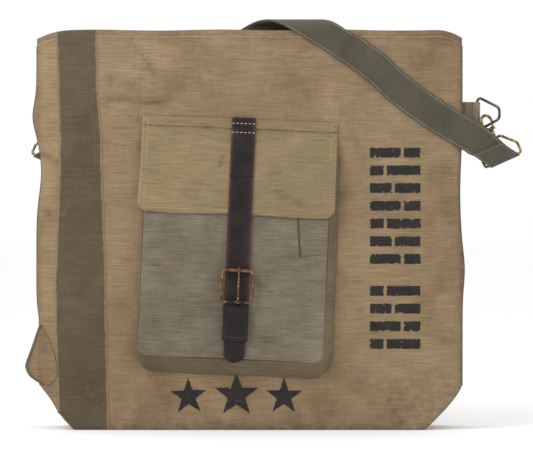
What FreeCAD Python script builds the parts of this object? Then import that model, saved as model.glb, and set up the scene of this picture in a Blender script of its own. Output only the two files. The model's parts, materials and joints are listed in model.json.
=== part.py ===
import FreeCAD, Part
import math
import os
import re
import Sketcher

# A canvas mail sack, standing upright with its mouth at the top.
# Millimetres. X runs across the front, Y from front to back, Z up.
# The origin is the middle of the underside of the base.

Vector = FreeCAD.Vector
Placement = FreeCAD.Placement
Rotation = FreeCAD.Rotation
ACROSS, DEEP, UP = Vector(1, 0, 0), Vector(0, 1, 0), Vector(0, 0, 1)

SIZES = {
    # the sack
    "bag_width": 540,
    "bag_height": 508,
    "base_width": 445,
    "corner_rise": 47,
    "base_depth": 90,
    "mouth_depth": 30,
    "canvas": 1.2,
    "fit_gap": 0.03,
    "hem_height": 10,
    "hem_cloth": 1,
    "seam_cloth": 1.1,
    "seam_width": 9,
    "ear_reach": 16,
    "ear_rise": 134,
    "ear_foot": 8,
    "ear_point": 34,
    "ear_nib": 16,
    "ear_blunt": 3,
    # the dark band up the left of the front
    "band_left_top": 248,
    "band_right_top": 195,
    "band_left_base": 243,
    "band_right_base": 179,
    "band_cloth": 0.8,
    # the pocket, measured down from the top of its flap
    "pocket_x": -11.4,
    "pocket_top": 395,
    "pocket_turn": 2.4,
    "pocket_width": 236,
    "pocket_mouth": 44,
    "pocket_bottom": 305,
    "mouth_gap": 8,
    "bottom_gap": 20,
    "splay_left": 1,
    "splay_right": 9,
    "splay_bottom": 20,
    "pocket_clip": 8,
    # the flap and the tape that holds it
    "flap_width": 248,
    "flap_drop": 122,
    "flap_clip": 9,
    "flap_cloth": 1.4,
    "tape_drop": 15,
    "tape_cloth": 1.6,
    "hinge_drop": 16.5,
    "hinge_out": 1.4,
    "flap_bend": 42,
    "lay": 0.45,
    # the leather closing strap
    "strap_x": 4.5,
    "strap_width": 30,
    "tail_width": 27.5,
    "leather": 3,
    "strap_start": 27,
    "strap_tip": 308.5,
    "strap_gap": 0.3,
    "tip_rise": 8.25,
    "tip_half": 6.9,
    "cap_rise": 1.5,
    "cap_drop": 11,
    # the buckle
    "roller_drop": 192,
    "heel_drop": 232,
    "frame_width": 36.5,
    "frame_bow": 2,
    "frame_wire": 3.52,
    "frame_bend": 3.3,
    "bow_bend": 17.6,
    "bar_stand": 2.5,
    "roller_inset": 3.75,
    "roller_wall": 0.9,
    "run_gap": 0.1,
    "tongue_wire": 1.3,
    "tongue_x": 2,
    "tongue_rest": 0.45,
    "tongue_nose": 2.2,
    "collar_wall": 1.1,
    "chape_leather": 1.6,
    "chape_width": 32,
    "chape_top": 3,
    "chape_swell": 1,
    "chape_bottom": 281,
    "lug_width": 8,
    "lug_space": 7,
    "slot_top": 4,
    "slot_low": 6,
    "bar_gap": 0.05,
    "snap_drop": 22,
    "snap_disc": 15,
    "snap_half": 0.85,
    # the rings at the sides
    "tab_height": 30,
    "tab_reach": 21,
    "tab_cloth": 3.2,
    "tab_eye": 3.6,
    "ring_drop": 105.5,
    "right_tab_y": -24,
    "left_tab_x": -205,
    "left_tab_out": 9,
    "ring_wire": 3.4,
    "ring_bar": 31,
    "ring_reach": 30,
    "ring_apex": 7,
    "ring_bend": 4,
    "ring_flare": 6.4,
    "ring_yaw": 25,
    # the snap hooks
    "hook_lean": 24,
    "hook_yaw": 40,
    "hook_wire": 3.8,
    "bow_radius": 9.3,
    "bow_level": 22,
    "link_level": 18.5,
    "link_along": 14,
    "link_aside": 0.8,
    "neck_radius": 4,
    "neck_low": 3,
    "neck_high": 11,
    "neck_taper": 3,
    "gate_x": 5.4,
    "gate_level": 13,
    "gate_wire": 2.2,
    "gate_space": 0.35,
    "gate_play": 0.2,
    "knuckle_wall": 0.6,
    "lug_wall": 0.7,
    "lug_reach": 1.56,
    "gate_pin": 0.55,
    "gate_pin_gap": 0.07,
    "pin_radius": 2,
    "pin_depth": 5.94,
    "pin_head": 3.2,
    "head_height": 1.5,
    "head_gap": 0.35,
    "eye_length": 30,
    "eye_bar": 50,
    "eye_wire": 3.4,
    "eye_shoulder": 9,
    "shoulder_bend": 5,
    "flank_bend": 6,
    "foot_bend": 3,
    "flank_share": 0.55,
    "boss_radius": 4.2,
    "boss_height": 4,
    "boss_gap": 0.08,
    # the shoulder strap
    "belt_width": 40,
    "belt_cloth": 3,
    "belt_stand": 0.6,
    "belt_clear": 14,
    "belt_knee": 53,
    "sleeve_gap": 0.35,
    "sleeve_wall": 1.5,
    "rim_x_front": 88,
    "rim_x_back": 24,
    "rim_arch": 11,
}

doc = FreeCAD.newDocument("mail_sack")
sheet = doc.addObject("Spreadsheet::Sheet", "Sizes")
for row, (alias, value) in enumerate(SIZES.items(), 1):
    sheet.set(f"A{row}", str(value))
    sheet.setAlias(f"A{row}", alias)
doc.recompute()


def bound(text):
    """An expression whose words that name a size point at the sheet."""
    return re.sub(r"[a-z_]+", lambda w: "Sizes." + w[0] if w[0] in SIZES else w[0], text)


def number(text):
    return float(sheet.evalExpression(bound(text)))


# ---- how the pieces are made ----

def new_body(label, place=None):
    body = doc.addObject("PartDesign::Body", label)
    body.Label = label
    if place is not None:
        body.Placement = place
    return body


def new_sketch(body, plane, lift="0"):
    """A sketch on one of the body's origin planes, lifted along its normal."""
    sketch = body.newObject("Sketcher::SketchObject", body.Label + "_sketch")
    support = [o for o in body.Origin.OriginFeatures if o.Role == plane + "_Plane"]
    sketch.AttachmentSupport = [(support[0], "")]
    sketch.MapMode = "FlatFace"
    sketch.setExpression("AttachmentOffset.Base.z", bound(lift))
    return sketch


def outline(body, plane, *loops, lift="0"):
    """Closed loops of straight edges, with every corner bound to the sheet."""
    sketch = new_sketch(body, plane, lift)
    for loop in loops:
        first = sketch.GeometryCount
        spots = [Vector(number(a), number(b), 0) for a, b in loop]
        for i, spot in enumerate(spots):
            sketch.addGeometry(Part.LineSegment(spot, spots[(i + 1) % len(spots)]))
        for i, (a, b) in enumerate(loop):
            edge, after = first + i, first + (i + 1) % len(loop)
            sketch.addConstraint(Sketcher.Constraint("Coincident", edge, 2, after, 1))
            bind(sketch, Sketcher.Constraint("DistanceX", -1, 1, edge, 1, number(a)), a)
            bind(sketch, Sketcher.Constraint("DistanceY", -1, 1, edge, 1, number(b)), b)
    return sketch


def circle(body, plane, across, along, radius, lift="0"):
    sketch = new_sketch(body, plane, lift)
    centre = Vector(number(across), number(along), 0)
    sketch.addGeometry(Part.Circle(centre, UP, number(radius)))
    bind(sketch, Sketcher.Constraint("DistanceX", -1, 1, 0, 3, centre.x), across)
    bind(sketch, Sketcher.Constraint("DistanceY", -1, 1, 0, 3, centre.y), along)
    bind(sketch, Sketcher.Constraint("Radius", 0, number(radius)), radius)
    return sketch


def bind(sketch, constraint, text):
    index = sketch.addConstraint(constraint)
    sketch.setExpression(f"Constraints[{index}]", bound(text))


def extrude(kind, body, sketch, length, side="Symmetric", turned=False):
    """A Pad or a Pocket of the sketch."""
    feature = body.newObject("PartDesign::" + kind, body.Label + "_" + kind.lower())
    feature.Profile = sketch
    feature.SideType = side
    feature.Reversed = turned
    feature.setExpression("Length", bound(length))
    return feature


def solid(label, shape, place=Placement()):
    """A piece whose shape comes from Part's own functions."""
    piece = doc.addObject("Part::Feature", label)
    piece.Label = label
    piece.Shape = shape
    piece.Placement = place
    return piece


def bent_wire(corners, bends, wire, closed):
    """A round wire along a path of straight runs joined by arcs."""
    count = len(corners)
    ins, outs, mids = [], [], []
    for i, corner in enumerate(corners):
        back, ahead = corners[i - 1] - corner, corners[(i + 1) % count] - corner
        back.normalize()
        ahead.normalize()
        half = back.getAngle(ahead) / 2
        reach = bends[i] / math.tan(half)
        middle = back + ahead
        middle.normalize()
        ins.append(corner + back * reach)
        outs.append(corner + ahead * reach)
        mids.append(corner + middle * (bends[i] / math.sin(half) - bends[i]))
    edges = []
    for i in range(count):
        if closed or 0 < i < count - 1:
            edges.append(Part.Arc(ins[i], mids[i], outs[i]).toShape())
        after = (i + 1) % count
        if closed or i < count - 1:
            start = outs[i] if closed or i > 0 else corners[0]
            stop = ins[after] if closed or after < count - 1 else corners[-1]
            if start.distanceToPoint(stop) > 0.01:
                edges.append(Part.LineSegment(start, stop).toShape())
    path = Part.Wire(Part.__sortEdges__(edges))
    begin = path.OrderedEdges[0]
    spot = begin.valueAt(begin.FirstParameter)
    aim = begin.tangentAt(begin.FirstParameter)
    ring = Part.Wire(Part.Circle(spot, aim, wire / 2).toShape())
    return path.makePipeShell([ring], True, False)


# ---- the places that pieces share ----

lean = math.degrees(math.atan2(number("base_depth - mouth_depth"), number("bag_height")))
front = Placement(Vector(0, -number("base_depth/2"), 0), Rotation())
back = Placement(Vector(0, number("base_depth/2"), 0), Rotation(ACROSS, lean))
pocket = front * Placement(
    Vector(number("pocket_x"), 0, number("pocket_top")),
    Rotation(DEEP, number("pocket_turn")),
)
strap = pocket * Placement(Vector(number("strap_x"), 0, 0), Rotation())

# How far out the pocket's face is, at a drop below the flap's top.
face_slope = "((bottom_gap - mouth_gap)/(pocket_bottom - pocket_mouth))"


def face_out(drop):
    return f"(mouth_gap + ({drop} - pocket_mouth)*{face_slope})"


# ---- the sack ----

def panel_outline(height):
    return [
        ("-base_width/2", "0"),
        ("base_width/2", "0"),
        ("bag_width/2", "corner_rise"),
        ("bag_width/2", height),
        ("-bag_width/2", height),
        ("-bag_width/2", "corner_rise"),
    ]


def make_panels():
    body = new_body("front_panel", front)
    extrude("Pad", body, outline(body, "XZ", panel_outline("bag_height")), "canvas", "One side", True)
    slant = f"(bag_height/cos({lean}))"
    rise = f"corner_rise/cos({lean})"
    corners = [(a, b.replace("corner_rise", rise)) for a, b in panel_outline(slant)]
    body = new_body("back_panel", back)
    extrude("Pad", body, outline(body, "XZ", corners), "canvas", "One side")


# The wedge inside the two panels, seen from the side.
back_cloth = f"(canvas/cos({lean}) + fit_gap)"
back_foot = f"(base_depth/2 - {back_cloth})"
back_head = f"(mouth_depth - base_depth/2 - {back_cloth})"
front_inside = "(canvas - base_depth/2)"


def cut_to_wedge(body):
    """Cuts away what lies outside the front and back panels' inner faces."""
    beyond = [
        (back_foot, "0"),
        ("base_depth", "0"),
        ("base_depth", "bag_height"),
        (back_head, "bag_height"),
    ]
    extrude("Pocket", body, outline(body, "YZ", beyond), "2*bag_width")


def make_gusset(label, side):
    """A side wall: upright, then slanting in to the base."""
    edge, foot, rise = f"{side}*bag_width/2", f"{side}*base_width/2", "corner_rise"
    inner, inner_foot = f"{side}*(bag_width/2 - canvas)", f"{side}*(base_width/2 - canvas)"
    strip = [
        (foot, "canvas"),
        (edge, rise),
        (edge, "bag_height"),
        (inner, "bag_height"),
        (inner, rise),
        (inner_foot, "canvas"),
    ]
    body = new_body(label)
    extrude("Pad", body, outline(body, "XZ", strip), "base_depth - 2*canvas")
    cut_to_wedge(body)


def make_base():
    body = new_body("base_panel")
    slope = "((base_depth - mouth_depth)/bag_height)"
    far = f"({back_foot} - canvas*{slope})"
    floor = [
        ("-base_width/2", front_inside),
        ("base_width/2", front_inside),
        ("base_width/2", far),
        ("-base_width/2", far),
    ]
    extrude("Pad", body, outline(body, "XY", floor), "canvas", "One side")


def make_hem():
    """The turned edge that lines the mouth on all four sides."""
    drop = "(bag_height - hem_height)"
    slope = "((base_depth - mouth_depth)/bag_height)"

    def loop(inset):
        near, far = f"({front_inside} + {inset})", f"({back_head} - {inset})"
        return [
            (near, drop),
            (f"({far} + hem_height*{slope})", drop),
            (far, "bag_height"),
            (near, "bag_height"),
        ]

    body = new_body("rim_hem")
    extrude("Pad", body, outline(body, "YZ", loop("fit_gap")), "bag_width - 2*canvas")
    extrude("Pocket", body, outline(body, "YZ", loop("hem_cloth")), "bag_width - 2*canvas - 2*hem_cloth")


def make_band():
    body = new_body("front_band", front)
    corners = [
        ("-band_left_base", "corner_rise/2"),
        ("-band_right_base", "2"),
        ("-band_right_top", "bag_height"),
        ("-band_left_top", "bag_height"),
    ]
    extrude("Pad", body, outline(body, "XZ", corners), "band_cloth", "One side")


def make_bindings():
    """Bound seam edges outside the side walls, and the fold that pokes out at the lower left."""
    high = "(bag_height - hem_height)"
    for label, side in (("left_seam_binding", -1), ("right_seam_binding", 1)):
        edge = f"{side}*bag_width/2"
        out = f"{side}*(bag_width/2 + seam_cloth)"
        body = new_body(label, front)
        strip = [(edge, "corner_rise"), (out, "corner_rise"), (out, high), (edge, high)]
        extrude("Pad", body, outline(body, "XZ", strip), "seam_width", "One side", True)
    body = new_body("left_corner_fold", front)
    near = "-(bag_width/2 + seam_cloth + fit_gap)"
    fold = [
        (near, "corner_rise + ear_foot"),
        (near, "ear_rise"),
        ("-(bag_width/2 + ear_reach)", "corner_rise + ear_point"),
        ("-(bag_width/2 + ear_reach - ear_blunt)", "corner_rise + ear_nib"),
    ]
    extrude("Pad", body, outline(body, "XZ", fold), "2*canvas", "One side", True)


# ---- the pocket and its flap ----

def make_pocket_front():
    """The grey face, a little further out at its bottom than at its mouth."""
    body = new_body("pocket_front", pocket)
    side_view = [
        (f"-{face_out('pocket_mouth')}", "-pocket_mouth"),
        (f"-{face_out('pocket_bottom')}", "-pocket_bottom"),
        (f"canvas - {face_out('pocket_bottom')}", "-pocket_bottom"),
        (f"canvas - {face_out('pocket_mouth')}", "-pocket_mouth"),
    ]
    extrude("Pad", body, outline(body, "YZ", side_view), "pocket_width")
    clips = [
        [
            (f"{side}*pocket_width/2", "-pocket_bottom"),
            (f"{side}*pocket_width/2", "pocket_clip - pocket_bottom"),
            (f"{side}*(pocket_width/2 - pocket_clip)", "-pocket_bottom"),
        ]
        for side in (-1, 1)
    ]
    extrude("Pocket", body, outline(body, "XZ", *clips), "4*bottom_gap")


def make_pocket_gusset():
    """Three walls that splay from the face down to the sack."""

    def corners(inset, top, left, right, drop, out_top, out_bottom):
        x_left, x_right = -number("pocket_width/2") - left + inset, number("pocket_width/2") + right - inset
        return [
            Vector(x_left, -out_bottom, -drop + inset),
            Vector(x_right, -out_bottom, -drop + inset),
            Vector(x_right, -out_top, top),
            Vector(x_left, -out_top, top),
        ]

    mouth, low, cloth = -number("pocket_mouth"), number("pocket_bottom"), number("canvas")
    gap = number("fit_gap")

    def block(inset, top):
        splay = [number("splay_left"), number("splay_right"), low + number("splay_bottom")]
        foot = corners(inset, top, *splay, gap, gap)
        outs = [number(rise) - cloth - gap for rise in ("mouth_gap", "bottom_gap")]
        face = corners(inset, top, 0, 0, low, *outs)
        wires = [Part.makePolygon(loop + loop[:1]) for loop in (foot, face)]
        return Part.makeLoft(wires, True, True)

    # the hollow is taken out a little deeper and a little nearer, so both ends are open
    hollow = block(cloth, mouth + cloth)
    nudge = Vector(0, cloth / 3, 0)
    open_ends = [hollow.translated(-nudge), hollow.translated(nudge)]
    solid("pocket_gusset", block(0, mouth).cut([hollow] + open_ends), pocket)


def flap_line(offset):
    """The flap's course from its hinge, seen from the side, at an offset outward."""
    over = f"({face_out('flap_bend')} + lay + {offset})"
    tip = f"({face_out('flap_drop')} + lay + {offset})"
    return [
        (f"-(hinge_out - flap_cloth/2 + {offset})", "-(hinge_drop + flap_cloth/2)"),
        (f"-{over}", "-flap_bend"),
        (f"-{tip}", "-flap_drop"),
    ]


def make_flap():
    body = new_body("flap_top_tape", pocket)
    half = "flap_width/2"
    strip = [(f"-{half}", "0"), (half, "0"), (half, "-tape_drop"), (f"-{half}", "-tape_drop")]
    extrude("Pad", body, outline(body, "XZ", strip), "tape_cloth", "One side")
    body = new_body("pocket_flap", pocket)
    loop = flap_line("0") + flap_line("flap_cloth")[::-1]
    extrude("Pad", body, outline(body, "YZ", loop), "flap_width")
    clips = [
        [
            (f"{side}*flap_width/2", "-flap_drop"),
            (f"{side}*flap_width/2", "flap_clip - flap_drop"),
            (f"{side}*(flap_width/2 - flap_clip)", "-flap_drop"),
        ]
        for side in (-1, 1)
    ]
    extrude("Pocket", body, outline(body, "XZ", *clips), "4*bottom_gap")


# ---- the leather strap, its buckle and the snap under it ----

# The strap lies on the flap and runs on in line with it, over the pocket's face.
strap_low = "(lay + flap_cloth + strap_gap)"
strap_high = f"({strap_low} + leather)"
# The buckle's bars lie this far out from the pocket's face.
bar_out = f"({strap_high} + chape_leather + bar_stand)"


def make_closure_strap():
    body = new_body("strap_top_end", strap)
    half = "strap_width/2"
    patch = [(f"-{half}", "cap_rise"), (half, "cap_rise"), (half, "-cap_drop"), (f"-{half}", "-cap_drop")]
    extrude("Pad", body, outline(body, "XZ", patch, lift="tape_cloth"), "leather", "One side")

    share = "(strap_start - hinge_drop)/(flap_bend - hinge_drop)"
    start = f"(hinge_out + ({face_out('flap_bend')} - hinge_out)*{share})"
    body = new_body("closure_strap", strap)
    loop = [
        (f"-({start} + {strap_low})", "-strap_start"),
        (f"-({face_out('flap_bend')} + {strap_low})", "-flap_bend"),
        (f"-({face_out('strap_tip')} + {strap_low})", "-strap_tip"),
        (f"-({face_out('strap_tip')} + {strap_high})", "-strap_tip"),
        (f"-({face_out('flap_bend')} + {strap_high})", "-flap_bend"),
        (f"-({start} + {strap_high})", "-strap_start"),
    ]
    extrude("Pad", body, outline(body, "YZ", loop), "strap_width")
    trims = [
        [
            (f"{side}*strap_width/2", "-chape_bottom"),
            (f"{side}*tail_width/2", "-chape_bottom"),
            (f"{side}*tail_width/2", "tip_rise - strap_tip"),
            (f"{side}*tip_half", "-strap_tip"),
            (f"{side}*strap_width/2", "-strap_tip"),
        ]
        for side in (-1, 1)
    ]
    extrude("Pocket", body, outline(body, "XZ", *trims), "6*bottom_gap")


def make_buckle():
    top, heel = number("roller_drop"), number("heel_drop")
    tilt = math.degrees(math.atan(number(face_slope)))
    # the frame's own plane: X across, Z up, laid along the pocket's face
    level = number(f"{face_out('heel_drop')} + {bar_out}")
    seat = strap * Placement(Vector(0, -level, -heel), Rotation(ACROSS, -tilt))
    rise = (heel - top) / math.cos(math.radians(tilt))
    half, bow = number("frame_width/2"), number("frame_bow")
    loop = [
        Vector(-half, 0, 0),
        Vector(-half - bow, 0, rise / 2),
        Vector(-half, 0, rise),
        Vector(half, 0, rise),
        Vector(half + bow, 0, rise / 2),
        Vector(half, 0, 0),
    ]
    side_bends = [number("frame_bend"), number("bow_bend"), number("frame_bend")]
    solid("buckle_frame", bent_wire(loop, side_bends * 2, number("frame_wire"), True), seat)

    hollow = number("frame_wire/2 + run_gap")
    outer = hollow + number("roller_wall")
    length = 2 * (half - number("roller_inset"))
    tube = Part.makeCylinder(outer, length, Vector(-length / 2, 0, rise), ACROSS)
    bore = Part.makeCylinder(hollow, length, Vector(-length / 2, 0, rise), ACROSS)
    solid("buckle_roller", tube.cut(bore), seat)

    # the tongue: an eye round the heel bar and a pin that rests on the roller
    pin, across = number("tongue_wire"), number("tongue_x")
    wall = number("collar_wall")
    collar = Part.makeCylinder(hollow + wall, 2 * pin, Vector(across - pin, 0, 0), ACROSS)
    eye = Part.makeCylinder(hollow, 3 * pin, Vector(across - 1.5 * pin, 0, 0), ACROSS)
    over = outer + pin + number("tongue_rest")
    route = [
        Vector(across, -(hollow + wall / 2), wall / 2),
        Vector(across, -over * 0.9, rise / 2),
        Vector(across, -over, rise - pin),
        Vector(across, -over + wall / 2, rise + outer + number("tongue_nose")),
    ]
    bends = [0, number("frame_width*0.8"), number("frame_width/3"), 0]
    arm = bent_wire(route, bends, 2 * pin, False)
    solid("buckle_tongue", collar.fuse(arm).cut(eye).removeSplitter(), seat)

    # the chape: lies on the strap and holds the heel bar in two lugs
    body = new_body("buckle_chape", strap)
    skin = f"({strap_high} + fit_gap)"
    top_drop = "(heel_drop + chape_top)"
    side_view = [
        (f"-({face_out(top_drop)} + {skin})", f"-{top_drop}"),
        (f"-({face_out('chape_bottom')} + {skin})", "-chape_bottom"),
        (f"-({face_out('chape_bottom')} + {skin} + chape_leather)", "-chape_bottom"),
        (f"-({face_out(top_drop)} + {skin} + chape_leather + chape_swell)", f"-{top_drop}"),
    ]
    extrude("Pad", body, outline(body, "YZ", side_view), "chape_width")
    bar_line = f"-({face_out('heel_drop')} + {bar_out})"
    bar_bore = "(frame_wire/2 + bar_gap)"
    wrap = circle(body, "YZ", bar_line, "-heel_drop", f"{bar_bore} + chape_leather")
    extrude("Pad", body, wrap, "2*lug_width + lug_space")
    slot_view = [
        ("tongue_x - lug_space/2", "slot_top - heel_drop"),
        ("tongue_x + lug_space/2", "slot_top - heel_drop"),
        ("tongue_x + lug_space/2", "-(heel_drop + slot_low)"),
        ("tongue_x - lug_space/2", "-(heel_drop + slot_low)"),
    ]
    extrude("Pocket", body, outline(body, "XZ", slot_view), "6*bottom_gap")
    extrude("Pocket", body, circle(body, "YZ", bar_line, "-heel_drop", bar_bore), "2*chape_width")


def make_snap():
    """Two flat magnetic halves between the strap and the pocket's face."""
    level = "(heel_drop + snap_drop)"
    tilt = math.degrees(math.atan(number(face_slope)))
    seat = strap * Placement(Vector(0, -number(face_out(level)), -number(level)), Rotation(ACROSS, -tilt))
    for label, low in (("snap_socket", "fit_gap"), ("snap_stud", f"{strap_low} - snap_half - fit_gap")):
        body = new_body(label, seat)
        extrude("Pad", body, circle(body, "XZ", "0", "0", "snap_disc/2", lift=low), "snap_half", "One side")


# ---- rings, hooks and the shoulder strap ----

ring_level = number("bag_height - ring_drop")
right_bar_x = number("bag_width/2 + tab_reach")
left_bar_x = number("left_tab_x - tab_reach")
# Where each ring's bar stands, upright in its tab. The left one is turned to face the back.
ring_places = {
    "right": Placement(Vector(right_bar_x, number("right_tab_y"), ring_level), Rotation()),
    "left": back * Placement(Vector(left_bar_x, number("left_tab_out"), ring_level), Rotation(UP, 180)),
}
ring_turn = Rotation(UP, -number("ring_yaw"))
ring_corner = number("ring_bar/2 + ring_flare")


def link_place(side):
    """A hook's own frame: its swivel at the origin, its bow along +Z, its eye below."""
    along = number("link_along")
    slope = (ring_corner - number("ring_apex")) / number("ring_reach")
    wire = ring_turn.multVec(Vector(along, 0, along * slope - ring_corner))
    link = ring_places[side] * Placement(wire, Rotation(DEEP, -number("hook_lean")))
    aside = Rotation(UP, number("hook_yaw")).multVec(ACROSS * number("link_aside"))
    return link * Placement(aside - UP * number("link_level"), Rotation())


def hook_place(side):
    return link_place(side) * Placement(Vector(), Rotation(UP, number("hook_yaw")))


def make_ring(side):
    base = ring_places[side]
    radius = number("ring_wire/2")
    # the tab: two layers with an eye at the end for the ring's bar
    reach = number("tab_reach")
    half = number("tab_height/2")
    flat = number("tab_cloth")
    plate = Part.makeBox(reach, flat, 2 * half, Vector(-reach, -flat / 2, -half))
    eye = Part.makeCylinder(number("tab_eye"), 2 * half, Vector(0, 0, -half))
    bore = Part.makeCylinder(radius + number("run_gap"), 2 * half, Vector(0, 0, -half))
    tab = plate.fuse(eye)
    if side == "left":
        # a sewn foot that stands this tab off the back
        foot = Part.makeBox(reach / 2, number("left_tab_out"), half, Vector(-reach, -number("fit_gap"), 0))
        tab = tab.fuse(foot)
    solid(side + "_ring_tab", tab.cut(bore).removeSplitter(), base)

    bend, apex, tip = number("ring_bend"), number("ring_apex"), number("ring_reach")
    loop = [
        Vector(0, 0, -ring_corner),
        Vector(0, 0, ring_corner),
        Vector(tip, 0, apex),
        Vector(tip, 0, -apex),
    ]
    shape = bent_wire(loop, [bend, bend, apex, apex], 2 * radius, True)
    solid(side + "_ring", shape, base * Placement(Vector(), ring_turn))


def make_hook(side):
    seat, twist = link_place(side), hook_place(side)
    wire, bow = number("hook_wire"), number("bow_radius")
    level = number("bow_level")
    centre = Vector(0, 0, level)
    # the bow, from the neck round to the nose
    start, nose = math.radians(-90), math.radians(-368)

    def on_bow(angle):
        return centre + Vector(math.cos(angle) * bow, 0, math.sin(angle) * bow)

    arc = Part.Arc(on_bow(start), on_bow((start + nose) / 2), on_bow(nose)).toShape()
    ring = Part.Wire(Part.Circle(on_bow(start), ACROSS, wire / 2).toShape())
    hook = Part.Wire([arc]).makePipeShell([ring], True, False)
    low, high, neck = number("neck_low"), number("neck_high"), number("neck_radius")
    hook = hook.fuse(Part.makeCylinder(neck, high - low, Vector(0, 0, low)))
    hook = hook.fuse(Part.makeCone(neck, wire * 0.6, number("neck_taper"), Vector(0, 0, high)))
    pivot = Vector(number("gate_x"), 0, number("gate_level"))
    thick, play = number("gate_wire/2"), number("gate_play")
    knuckle = thick + number("knuckle_wall")
    # lugs for the gate's pin at the foot of the bow, and the gap between them
    lug_half = thick + number("lug_reach")
    lug = Part.makeCylinder(knuckle + number("lug_wall"), 2 * lug_half, pivot - DEEP * lug_half, DEEP)
    near = knuckle + play
    slot = Part.makeBox(9 * thick, 2 * (thick + play), 9 * thick, pivot - Vector(near, thick + play, near))
    stem, rivet = number("pin_radius"), number("gate_pin")
    pin_hole = Part.makeCylinder(
        rivet + number("gate_pin_gap"), 3 * lug_half, pivot - DEEP * (1.5 * lug_half), DEEP
    )
    blind = Part.makeCylinder(stem, number("pin_depth"), Vector(0, 0, low - number("fit_gap")))
    hook = hook.fuse(lug).cut(slot).cut([pin_hole, blind]).removeSplitter()
    solid(side + "_snap_hook", hook, twist)

    # the gate closes the space between the lugs and the nose
    reach = on_bow(nose) - pivot
    space = wire / 2 + number("gate_space")
    gate = Part.makeCylinder(thick, reach.Length, pivot, reach)
    gate = gate.fuse(Part.makeCylinder(knuckle, 2 * thick, pivot - DEEP * thick, DEEP))
    keep = Part.makeCylinder(space, 2 * wire, on_bow(nose) - DEEP * wire, DEEP)
    solid(side + "_hook_gate", gate.cut(keep).cut(pin_hole), twist)
    solid(side + "_gate_pin", Part.makeCylinder(rivet, 2 * lug_half, pivot - DEEP * lug_half, DEEP), twist)

    # the swivel pin, fixed in the hook and headed inside the eye
    boss = number("boss_height")
    foot = boss / 2 + number("head_gap")
    pin = Part.makeCylinder(stem, foot + low + number("pin_depth - 2*fit_gap"), Vector(0, 0, -foot))
    rim = number("head_height")
    head = Part.makeCylinder(number("pin_head"), rim, Vector(0, 0, -foot - rim))
    solid(side + "_swivel_pin", pin.fuse(head).removeSplitter(), twist)

    # the eye: a boss on the swivel pin and a wide bar for the strap
    half, shoulder = number("eye_bar/2"), number("eye_shoulder")
    drop = number("eye_length")
    flank = drop * number("flank_share")
    loop = [
        Vector(shoulder, 0, 0),
        Vector(half, 0, -flank),
        Vector(half, 0, -drop),
        Vector(-half, 0, -drop),
        Vector(-half, 0, -flank),
        Vector(-shoulder, 0, 0),
    ]
    bends = [number(name) for name in ("shoulder_bend", "flank_bend", "foot_bend")]
    frame = bent_wire(loop, bends + bends[::-1], number("eye_wire"), True)
    frame = frame.fuse(Part.makeCylinder(number("boss_radius"), boss, Vector(0, 0, -boss / 2)))
    bore = Part.makeCylinder(stem + number("boss_gap"), 3 * boss, Vector(0, 0, -1.5 * boss))
    solid(side + "_hook_eye", frame.cut(bore).removeSplitter(), seat)


def belt_section(spot, half, out, thick):
    """A slice through the strap: half its width as a vector, and its outward direction."""
    deep = out * (thick / 2)
    corners = [spot - half - deep, spot + half - deep, spot + half + deep, spot - half + deep]
    return Part.makePolygon(corners + corners[:1])


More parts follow.
